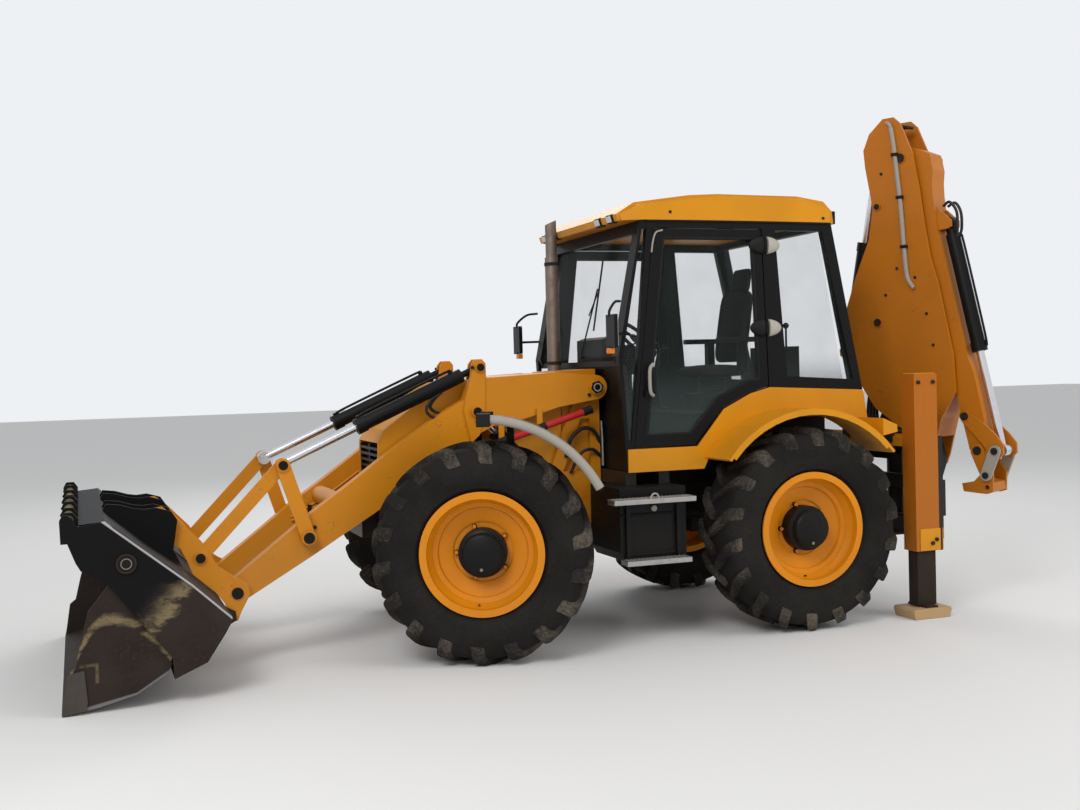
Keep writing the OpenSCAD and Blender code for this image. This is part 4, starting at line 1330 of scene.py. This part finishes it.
@dataclass
class Shovel(Assembly):
    """Cutting edge, side wear plates, weld beads, bolts, pin heads and hoses of the clam shovel."""

    half: float = 1222

    def build(self) -> None:
        """Make every extra."""
        jaw = self.half - 27
        cutter = [(4861, 4), (4850, 60), (4823, 232), (4735, 248), (4722, 70), (4730, 22)]
        lip = [(4860, 4), (4860, 18), (4700, 66), (4560, 92), (4556, 78), (4700, 50)]
        bead = [(3930, 482), (4140, 688), (4350, 862), (4558, 1038)]
        loop = [(4330, 905), (4360, 960), (4420, 985), (4470, 975)]
        plates = [shape(prism, cutter, across(s, (jaw, jaw + 14))) for s in SIDES]
        self.add("side_cutters", "clam", "cutter", plates, bevel=0.003)
        self.add("cutting_edge", "clam", "jaw", [shape(prism, lip, (-jaw + 22, jaw - 22))], bevel=0.002)
        spots = [(at(4640, -1035 + i * 230, 79), Vector((0.28, 0, 0.96))) for i in range(10)]
        self.fasten("edge_bolts", "clam", "jaw", spots, 0.019, 0.012, 8)
        beads = [run(bead, s * (self.half - 18), 0.008, 8, 2) for s in SIDES]
        self.add("shell_beads", "shovel", "cutter", beads, smooth=True)
        bosses = pin_heads([(4495, 830, 0.046, self.half + 16.5, self.half + 17.6)], 36)
        self.add("clam_pin_heads", "clam", "black", bosses)
        faces = pin_rings((4495, self.half + 17.7, 830), 0.031, 0.026, 0.0016, 36)
        self.add("clam_pin_rings", "clam", "boss", faces, slot=Slot.WORN)
        hoses = [run(loop, y, 0.010, 8, 3) for y in (300, 520, -300, -520)]
        self.add("clam_hoses", "shovel", "hose", hoses, smooth=True)


@dataclass
class Seat(Assembly):
    """Driver's seat: sewn cushions that stand for the plain seat, on its base."""

    hinge_z: float = 1862

    def build(self) -> None:
        """Make the cushions, headrest, armrests and base."""
        made = []
        for name, sizes, lean in (
            ("seat_cushion", ((-55, 355), (-205, 205), (1765, 1858)), 0.0),
            ("seat_back", ((-60, 55), (-212, 212), (1866, 2425)), -9.0),
            ("seat_head", ((-60, 10), (-115, 115), (2415, 2600)), -9.0),
        ):
            piece = self.add(name, "chassis", "cloth", [shape(self.pad, *sizes, lean)])
            mod = piece.modifiers.new("smooth", "SUBSURF")
            mod.levels = mod.render_levels = 2
            for poly in piece.data.polygons:
                poly.use_smooth = True
            made.append(piece)
        bellows = [(0.098 if i % 2 == 0 else 0.112, 0.012 * i) for i in range(10)] + [(0.098, 0.1195)]
        upright = Matrix.Translation(at(150, 0, 1641.2)) @ QUARTER_X
        base = [shape(block, (0, 300), (-150, 150), (1520.3, 1641))]
        base.append(shape(revolve, bellows, upright, 24, True))
        base += boxes((-80, 240), (240, 298), (2020, 2058)) + boxes((0, 60), (222, 288), (1800, 2022))
        made.append(self.add("seat_base", "chassis", "trim", base, bevel=0.006, slot=Slot.PLASTIC))
        for piece in made:
            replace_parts(piece, "seat")
        belt = [(-10, 1850), (-36, 2010), (-30, 2012), (-2, 1852)]
        self.add("seat_belt_red", "chassis", "red", [shape(prism, belt, (206, 238))], slot=Slot.PLASTIC)

    def pad(self, bm: Mesh, x: Pair, y: Pair, z: Pair, lean: float) -> None:
        """Add a crowned pad with a sewn channel down each side.

        Args:
            bm: The mesh.
            x: Its limits along the machine.
            y: Its limits across.
            z: Its limits in height.
            lean: How far it leans back, in degrees.
        """
        hinge = at(0, 0, self.hinge_z)
        turn = Matrix.Rotation(math.radians(lean), 4, "Y")
        turn = Matrix.Translation(hinge) @ turn @ Matrix.Translation(-hinge)
        upright = (z[1] - z[0]) > (x[1] - x[0])
        along, deep = (z, x) if upright else (x, z)
        across_steps = (-1.0, -0.62, -0.56, -0.5, 0.0, 0.5, 0.56, 0.62, 1.0)
        length = (-1.0, -0.5, 0.0, 0.5, 1.0)
        grid: dict[tuple[int, int, int], Vert] = {}
        for i, u in enumerate(across_steps):
            for j, v in enumerate(length):
                for k, w in enumerate((-1.0, 1.0)):
                    crown = 1.0 - 0.28 * max(abs(u) ** 3, abs(v) ** 3)
                    if i in (2, 6) and w > 0:
                        crown *= 0.78
                    if w < 0 and not upright:
                        crown = 1.0
                    py = sum(y) / 2 + u * (y[1] - y[0]) / 2 * (1.0 - 0.03 * v * v)
                    far = sum(along) / 2 + v * (along[1] - along[0]) / 2
                    out = sum(deep) / 2 + w * (deep[1] - deep[0]) / 2 * crown
                    px, pz = (out, far) if upright else (far, out)
                    grid[i, j, k] = bm.verts.new(turn @ at(px, py, pz))
        n, m = len(across_steps), len(length)
        for i in range(n - 1):
            for j in range(m - 1):
                for k in (0, 1):
                    bm.faces.new((grid[i, j, k], grid[i + 1, j, k], grid[i + 1, j + 1, k], grid[i, j + 1, k]))
            for j in (0, m - 1):
                bm.faces.new((grid[i, j, 0], grid[i + 1, j, 0], grid[i + 1, j, 1], grid[i, j, 1]))
        for j in range(m - 1):
            for i in (0, n - 1):
                bm.faces.new((grid[i, j, 0], grid[i, j + 1, 0], grid[i, j + 1, 1], grid[i, j, 1]))


@dataclass
class Cab(Assembly):
    """Trim of the cab: lamps, wiper, hinge covers, door furniture and mirrors."""

    half: float = 820
    hinge_x: float = 150
    hinge_z: Pair = (2105, 2685)

    def build(self) -> None:
        """Make every piece of trim."""
        self.lamps()
        self.wiper()
        self.doors()
        self.covers()
        self.mirrors()
        self.roof()
        self.controls()

    def lamps(self) -> None:
        """Square work lamps, flush in the roof's front and standing off its rear."""
        front = [(1205, 2842), (1246, 2842), (1262, 2890), (1250, 2903), (1205, 2903)]
        front_lens = [(1243, 2848), (1251, 2848), (1264, 2888), (1255, 2890)]
        rear = [(-526, 2858), (-458, 2858), (-458, 2952), (-526, 2952)]
        rear_lens = [(-531, 2868), (-524, 2868), (-524, 2942), (-531, 2942)]
        for name, finish, outlines, half, bevel in (
            ("housings", "trim", (front, rear), 52, 0.006),
            ("lenses", "lens", (front_lens, rear_lens), 42, 0.004),
        ):
            places = [s * y for y in (430, 640) for s in SIDES]
            parts = [shape(prism, outline, (y - half, y + half)) for y in places for outline in outlines]
            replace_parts(self.add("lamp_" + name, "chassis", finish, parts, bevel=bevel), "lamps")

    def wiper(self) -> None:
        """Windscreen wiper with its motor and blade."""
        rows = (
            ((1262, 150, 1935), (1292, 150, 1940), 0.014, 14),
            ((1288, 150, 1940), (1196, 275, 2420), 0.006, 8),
            ((1236, 275, 2120), (1140, 262, 2640), 0.007, 8),
            ((1250, 230, 2230), (1192, 268, 2390), 0.005, 8),
        )
        self.add("wiper", "chassis", "trim", [bar(*row) for row in rows])

    def doors(self) -> None:
        """Seals round the panes, grab rail, handle and weather strip of both doors."""
        pane = [(1085, 1385), (925, 2730), (240, 2730), (208, 1745), (320, 1722), (545, 1620), (755, 1385)]
        for body, s in DOORS:
            y, far, near = s * (self.half - 12), s * (self.half - 44), s * (self.half - 105)
            grip, strip = s * (self.half + 24), s * (self.half + 1)
            seal = [bar((a, y, b), (c, y, d), 0.011, 8) for (a, b), (c, d) in zip(pane, pane[1:] + pane[:1])]
            self.add("pane_seal_" + body, body, "trim", seal, smooth=True)
            path = [(905, far, 1560), (930, near, 1590), (960, near, 1800)]
            path += [(930, near, 1950), (890, far, 1975)]
            self.add("grab_rail_" + body, body, "trim", [hose(path, 0.012, 12)], smooth=True)
            out = grip + s * 12
            path = [(1045, grip, 1655), (1072, out, 1690), (1072, out, 1830), (1040, grip, 1872)]
            self.add("pull_handle_" + body, body, "grey_edge", [hose(path, 0.012, 12)], smooth=True)
            edge = run([(1022, 2630), (1008, 2710), (985, 2765), (935, 2782)], strip, 0.006, 8)
            self.add("door_weather_strip_" + body, body, "grey_edge", [edge], smooth=True)

    def covers(self) -> None:
        """Rounded covers on the door hinges, dark on the door and pale behind it."""
        for body, s in DOORS:
            self.add("hinge_covers_" + body, body, "trim", self.domes([s], 0.036, 20, 1), smooth=True)
        caps = self.domes(SIDES, 0.034, -22, -1)
        self.add("hinge_caps", "chassis", "hinge_cap", caps, smooth=True)

    def domes(self, sides: Sequence[int], deep: float, cut: float, keep: int) -> list[Shape]:
        """Half covers on the upper and lower hinge.

        Args:
            sides: 1 for the left door, -1 for the right.
            deep: How far they stand out, in metres.
            cut: Where they are cut, forward of the hinge in millimetres.
            keep: 1 keeps what is forward of the cut, -1 what is behind it.

        Returns:
            Their shapes.
        """
        size, edge = (0.125, deep, 0.062), at(self.hinge_x + cut, 0, 0)
        places = [at(self.hinge_x, s * (self.half + 2), z) for s in sides for z in self.hinge_z]
        return [shape(self.dome, place, size, edge, keep) for place in places]

    @staticmethod
    def dome(bm: Mesh, centre: Vector, size: Point, cut: Vector, keep: int) -> None:
        """Add a squashed ball, cut off square along the machine.

        Args:
            bm: The mesh.
            centre: Its middle.
            size: Half its size on each axis.
            cut: A place on the cut.
            keep: 1 keeps what is forward of the cut, -1 what is behind it.
        """
        place = Matrix.Translation(centre) @ Matrix.Diagonal((*size, 1.0))
        made = bmesh.ops.create_uvsphere(bm, u_segments=28, v_segments=16, radius=1.0, matrix=place)["verts"]
        faces = list({f for v in made for f in v.link_faces})
        edges = list({e for v in made for e in v.link_edges})
        side = Vector((-float(keep), 0.0, 0.0))
        whole = made + edges + faces
        result = bmesh.ops.bisect_plane(bm, geom=whole, plane_co=cut, plane_no=side, clear_outer=True)
        rim = [e for e in result["geom_cut"] if isinstance(e, bmesh.types.BMEdge)]
        bmesh.ops.contextual_create(bm, geom=rim)

    def mirrors(self) -> None:
        """Mirror faces, the amber lamp under each and their stays."""
        face = boxes((1365.5, 1372.5), (self.half + 68, self.half + 192), (1994, 2196))
        lamp = boxes((1366, 1404), (self.half + 70, self.half + 130), (1946, 1983))
        stays: list[Shape] = []
        for s in SIDES:
            out = s * (self.half + 112)
            path = [(1262, s * 812, 2300), (1330, s * 880, 2290), (1392, out, 2230), (1392, out, 2190)]
            stays.append(hose(path, 0.009, 10, 6))
            stays.append(hose([(1392, out, 2000), (1392, out, 1960)], 0.010, 10))
        self.add("mirror_faces", "chassis", "mirror", face, bevel=0.004)
        self.add("mirror_lamps", "chassis", "amber", lamp, bevel=0.005)
        self.add("mirror_stays", "chassis", "trim", stays, smooth=True)

    def roof(self) -> None:
        """Drip rails under the roof and its fixing bolts."""
        rail = [(1062, 2846), (700, 2848), (100, 2848), (-368, 2846)]
        rails = [run(rail, s * (self.half + 4), 0.010, 8, 4) for s in SIDES]
        self.add("drip_rails", "chassis", "trim", rails, smooth=True)
        y = self.half + 12
        self.fasten("roof_bolts", "chassis", "trim", outward(((880, y, 2905), (-330, y, 2880))), 0.011, 0.006)

    def controls(self) -> None:
        """Small levers by the steering wheel and on the right console."""
        parts: list[Shape] = []
        for y in (-120, 120):
            parts.append(bar((880, y * 0.4, 2010), (800, y * 2.0, 2050), 0.006, 8))
            parts.append(bar((800, y * 2.0, 2050), (785, y * 2.2, 2056), 0.013, 10))
        for x in (420, 350, 280):
            parts.append(bar((x, -520, 1850), (x + 10, -515, 1990), 0.008, 8))
            parts.append(bar((x + 10, -515, 1990), (x + 12, -514, 2040), 0.020, 14, 0.8))
        self.add("small_levers", "chassis", "trim", parts, smooth=True, slot=Slot.PLASTIC)


@dataclass
class Body(Assembly):
    """Extras of the chassis and bonnet: treads, cap, latches, hoses below the cab."""

    tank_out: float = 961
    tread_top: Pair = (987, 577)
    bonnet_out: float = 300

    def build(self) -> None:
        """Make every extra."""
        self.treads()
        self.tank()
        self.hoses()
        self.bonnet()
        self.exhaust()

    def treads(self) -> None:
        """Aluminium treads over the steps, with gripping studs."""
        upper, lower = self.tread_top
        steps = boxes((878, 1472), (1002, 1122), (upper - 34, upper))
        steps += boxes((898, 1372), (972, 1082), (lower - 34, lower))
        self.add("step_treads", "chassis", "aluminium", steps, bevel=0.004)
        up, spots = Vector((0, 0, 1)), []
        for s in SIDES:
            for row in range(3):
                spots += [(at(905 + i * 30, s * (1025 + row * 36), upper), up) for i in range(19)]
                spots += [(at(920 + i * 30, s * (992 + row * 34), lower), up) for i in range(15)]
        self.fasten("tread_studs", "chassis", "aluminium", spots, 0.007, 0.004, 8)

    def tank(self) -> None:
        """Ridges, filler cap and ring on the tanks."""
        ridges: list[Shape] = []
        for s in SIDES:
            for end, z, r in ((1362, 868, 0.010), (1340, 600, 0.008)):
                ridges.append(run([(884, z), (end, z)], s * self.tank_out, r, 8))
        arch = [(i * math.pi / 12) for i in range(13)]
        ring = run([(1180 + 28 * math.cos(a), 986 + 34 * math.sin(a)) for a in arch], 1116, 0.006, 10, 2)
        self.add("tank_ridges", "chassis", "black", ridges, smooth=True)
        self.add("tank_cap", "chassis", "grey_edge", [bar((1120, 960, 905), (1120, 976, 905), 0.020, 18)])
        self.add("tread_ring", "chassis", "grey_edge", [ring], smooth=True)

    def hoses(self) -> None:
        """Hoses and pipes between the tower and the tank."""
        high = [(1236, 345, 1330), (1300, 372, 1415), (1385, 380, 1430), (1470, 372, 1360), (1500, 345, 1230)]
        low = [(1236, 345, 1230), (1310, 372, 1280), (1400, 376, 1255), (1470, 350, 1120)]
        right = [(1250, -345, 1300), (1320, -372, 1375), (1400, -372, 1360), (1480, -345, 1200)]
        loops = [hose(high, 0.014, 12), hose(low, 0.012, 12), hose(right, 0.014, 12)]
        self.add("tower_hoses", "chassis", "hose", loops, smooth=True)
        pipes = []
        for x, y in ((1216, 330), (1226, 364)):
            pipes.append(hose([(x, y, 1160), (x, y, 1330), (x + 6, y + 2, 1480)], 0.009, 10, 3))
        self.add("tower_pipes", "chassis", "aluminium", pipes, smooth=True)

    def bonnet(self) -> None:
        """Latches and bolts of the bonnet."""
        y = self.bonnet_out
        latches = boxes((2590, 2640), (y - 1, y + 12), (1040, 1110))
        self.add("bonnet_latches", "bonnet", "trim", latches, bevel=0.004)
        spots = outward(((1560, y, 1060), (1560, y, 1700), (2050, y, 1060)))
        self.fasten("bonnet_bolts", "bonnet", "trim", spots, 0.010, 0.007)

    def exhaust(self) -> None:
        """Clamps round the exhaust stack."""
        inner, outer, half = 0.050, 0.056, 0.012
        outline = [(inner, -half), (outer, -half), (outer, half), (inner, half)]
        places = [Matrix.Translation(at(1350, -235, z)) @ QUARTER_X for z in (1900, 2640)]
        clamps = [shape(revolve, outline, place, 32) for place in places]
        self.add("exhaust_clamps", "chassis", "casting", clamps, smooth=True)


@dataclass
class DiggingArm(Assembly):
    """Extras of the digging arm: pipes, hoses, pin heads and bolts."""

    boom_half: float = 145

    def build(self) -> None:
        """Make every extra."""
        self.pipes()
        self.hoses()
        self.pins()
        self.post()

    def pipes(self) -> None:
        """Steel pipes up the boom's sides and along the crowd barrel."""
        way = [(40, 3640), (62, 3500), (84, 3300), (112, 3020), (138, 2640), (158, 2480), (205, 2400)]
        pipes: list[Shape] = []
        for s in SIDES:
            y = s * (self.boom_half + 20)
            pipes.append(run(way, y, 0.017, 14, 4, arm_at))
            path = [(40, y, 3640), (22, y - s * 6, 3672), (-6, y - s * 18, 3690)]
            pipes.append(hose(path, 0.014, 12, 4, arm_at))
        self.add("boom_pipes", "boom", "grey_edge", pipes, smooth=True)
        clips: list[Shape] = []
        for r, z in ((70, 3430), (104, 3100), (132, 2720)):
            y = (self.boom_half - 1, self.boom_half + 40)
            clips += boxes((r - 24, r + 24), y, (z - 12, z + 12), arm_at)
        self.add("boom_pipe_clips", "boom", "trim", clips)
        steps = ((120, 62), (170, 70), (800, 70), (950, 66), (975, 56))
        path = [beside((430, 2880), (815, 1165), *step) for step in steps]
        pipe = run(path, 0, 0.009, 10, 3, arm_at)
        self.add("crowd_barrel_pipe", "crowd_barrel", "black", [pipe], smooth=True)

    def hoses(self) -> None:
        """Hose bundle over the boom's head, and hoses beside the boom and to the crowd barrel."""
        way = [(-60, 3600), (-20, 3645), (50, 3662), (118, 3650)]
        bundle = [run(way, y, 0.012, 10, 5, arm_at) for y in (-40, 0, 40)]
        self.add("boom_head_hoses", "boom", "hose", bundle, smooth=True)
        sides = []
        for s in SIDES:
            path = [(205, s * 112, 2900), (250, s * 128, 2700), (300, s * 128, 2500), (350, s * 118, 2330)]
            sides.append(hose(path, 0.014, 12, 4, arm_at))
        self.add("boom_side_hoses", "boom", "hose", sides, smooth=True)
        loops = []
        for y in (-34, 34):
            path = [(395, y, 3010), (450, y * 1.3, 3035), (500, y, 2960)]
            path += [(505, y, 2840), (492, y * 0.6, 2770)]
            loops.append(hose(path, 0.011, 10, 5, arm_at))
        bend = ("crowd_barrel", arm_at(450, 0, 3030), arm_at(495, 0, 2820))
        self.add("crowd_hoses", "dipper", "hose", loops, smooth=True, bends_to=bend)

    def pins(self) -> None:
        """Dark pin heads and keeper bolts."""
        boom = [(230, 1120, 0.036, 157), (110, 3400, 0.034, 157)]
        boom += [(-110, 2150, 0.030, 156), (-100, 3050, 0.022, 156)]
        for body, rows in (
            ("boom", boom),
            ("crowd_link", [(815, 1165, 0.026, 151), (745, 985, 0.024, 151)]),
            ("hitch", [(670, 1165, 0.032, 121)]),
            ("crowd_lever", [(575, 1420, 0.030, 121)]),
        ):
            parts = pin_heads([(*row, row[3] + 8) for row in rows], place=arm_at)
            self.add("pin_heads_" + body, body, "casting", parts)
        out = (arm_at(0, 1, 0) - arm_at(0, 0, 0)).normalized()
        places = [(300, 2200), (350, 1960), (60, 2560), (-40, 2360)]
        places += [(210, 2480), (250, 1700), (90, 3210), (-60, 3300)]
        spots = [(arm_at(r, s * self.boom_half, z), out * s) for r, z in places for s in SIDES]
        self.fasten("boom_bolts", "boom", "casting", spots, 0.012, 0.009)

    def post(self) -> None:
        """Hose bundle from the carriage past the post to the boom's foot."""
        way = [(-30, 1170), (-190, 1230), (-260, 1420), (-235, 1640), (-215, 1760)]
        foot = [run(way, y, 0.014, 10, 6, arm_at) for y in (-66, -22, 22, 66)]
        bend = ("boom", arm_at(-120, 0, 1180), arm_at(-225, 0, 1700))
        self.add("boom_foot_hoses", "post", "hose", foot, smooth=True, bends_to=bend)


@dataclass
class Stabilisers(Assembly):
    """Collars, caps and bolts of the stabiliser boxes."""

    x0: float = -1065
    x1: float = -870
    y0: float = 965
    y1: float = 1112

    def build(self) -> None:
        """Make both sides."""
        low, out = (482, 640), self.y1 + 7
        parts = boxes((self.x0 - 8, self.x1 - 30), (self.y1 - 1, out), low)
        parts += boxes((self.x0 - 32, self.x0 - 22), (self.y1 - 90, out), low)
        parts += boxes((self.x0 + 10, self.x1 - 10), (self.y0 + 10, self.y1 - 10), (1749, 1756))
        self.add("stabiliser_collars", "chassis", "yellow", parts, bevel=0.003)
        spots = outward(((-1035, out, 560), (-1000, out, 535), (-1030, self.y1, 1690), (-905, self.y1, 1690)))
        for s in SIDES:
            for z in (770, 850, 930):
                spots.append((at(self.x0 - 75, s * (self.y0 + 33.5), z), Vector((-1, 0, 0))))
        self.fasten("stabiliser_bolts", "chassis", "casting", spots, 0.015, 0.012)


@dataclass
class Studio:
    """Camera, floor, lamps and sky."""

    focal_px: float = 1263.1
    photo_width: float = 1080.0
    sensor: float = 36.0
    place: Point = (4.7174 + SHIFT, 8.6372, 1.8437)
    yaw: float = -20.09
    pitch: float = -1.54
    roll: float = -1.56
    floor_half: float = 60.0
    sky: tuple[float, ...] = (0.90, 0.92, 0.95, 1.0)
    sky_light: float = 0.62
    sky_seen: float = 0.95

    def build(self) -> None:
        """Set up the whole stage."""
        self.camera()
        self.floor()
        self.lamps()
        self.world()
        bpy.context.scene.view_settings.view_transform = "Standard"

    def camera(self) -> None:
        """Place the camera as the photograph was taken."""
        yaw, pitch, roll = (math.radians(a) for a in (self.yaw, self.pitch, self.roll))
        flat = math.cos(pitch)
        forward = Vector((math.sin(yaw) * flat, -math.cos(yaw) * flat, math.sin(pitch)))
        level = Vector((-math.cos(yaw), -math.sin(yaw), 0.0))
        upright = level.cross(forward)
        right = level * math.cos(roll) + upright * math.sin(roll)
        up = upright * math.cos(roll) - level * math.sin(roll)
        data = bpy.data.cameras.new("camera")
        data.sensor_width = self.sensor
        data.lens = self.focal_px / self.photo_width * self.sensor
        data.clip_end = CAMERA_REACH
        cam = bpy.data.objects.new("camera", data)
        bpy.context.scene.collection.objects.link(cam)
        turn = Matrix((right, up, -forward)).transposed()
        cam.matrix_world = Matrix.Translation(Vector(self.place)) @ turn.to_4x4()
        bpy.context.scene.camera = cam

    def floor(self) -> None:
        """Lay the pale ground."""
        mesh = bpy.data.meshes.new("ground")
        far = self.floor_half
        mesh.from_pydata([(-far, -far, 0), (far, -far, 0), (far, far, 0), (-far, far, 0)], [], [(0, 1, 2, 3)])
        ground = bpy.data.objects.new("ground", mesh)
        mesh.materials.append(Floor().make())
        bpy.context.scene.collection.objects.link(ground)

    def lamps(self) -> None:
        """Hang three broad soft lamps; the fill lamp casts no mirror image."""
        for name, place, power, size in (
            ("key_lamp", (7.0, 8.5, 9.5), 730.0, 5.0),
            ("fill_lamp", (-7.5, 7.5, 5.5), 320.0, 6.0),
            ("rim_lamp", (-3.0, -9.0, 8.0), 330.0, 6.0),
        ):
            data = bpy.data.lights.new(name, "AREA")
            data.energy = power
            data.size = size
            lamp = bpy.data.objects.new(name, data)
            lamp.location = place
            lamp.visible_glossy = name != "fill_lamp"
            aim = Vector((0, 0, 1.0)) - Vector(place)
            lamp.rotation_euler = aim.to_track_quat("-Z", "Y").to_euler()
            bpy.context.scene.collection.objects.link(lamp)

    def world(self) -> None:
        """Make a pale sky that is brighter where it is seen than where it lights."""
        world = bpy.data.worlds.new("sky")
        world.use_nodes = True
        tree = world.node_tree
        back = tree.nodes["Background"]
        back.inputs[0].default_value = self.sky
        rays = tree.nodes.new("ShaderNodeLightPath")
        seen = rays.outputs["Is Camera Ray"]
        for name in ("Is Glossy Ray", "Is Transmission Ray"):
            add = tree.nodes.new("ShaderNodeMath")
            add.operation = "ADD"
            tree.links.new(seen, add.inputs[0])
            tree.links.new(rays.outputs[name], add.inputs[1])
            seen = add.outputs[0]
        level = tree.nodes.new("ShaderNodeMapRange")
        level.inputs["To Min"].default_value = self.sky_light
        level.inputs["To Max"].default_value = self.sky_seen
        tree.links.new(seen, level.inputs["Value"])
        tree.links.new(level.outputs["Result"], back.inputs[1])
        bpy.context.scene.world = world


def main(frame: dict[str, object]) -> None:
    """Build the stage and every dressed sub-assembly in order.
    """
    Studio().build()
    shop = Workshop()
    dress_nodes(frame, shop)
    for code, side, steered in (("fl", 1, True), ("fr", -1, True), ("rl", 1, False), ("rr", -1, False)):
        Wheel(shop, code, side, steered).build()
    for assembly in (Guards, Loader, Shovel, Seat, Cab, Body, DiggingArm, Stabilisers):
        assembly(shop).build()
    LOG.info("%d pieces made", shop.count)


if __name__ == "__main__":
    logging.basicConfig(level=logging.INFO, format="%(message)s")
    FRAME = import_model()
    main(FRAME)
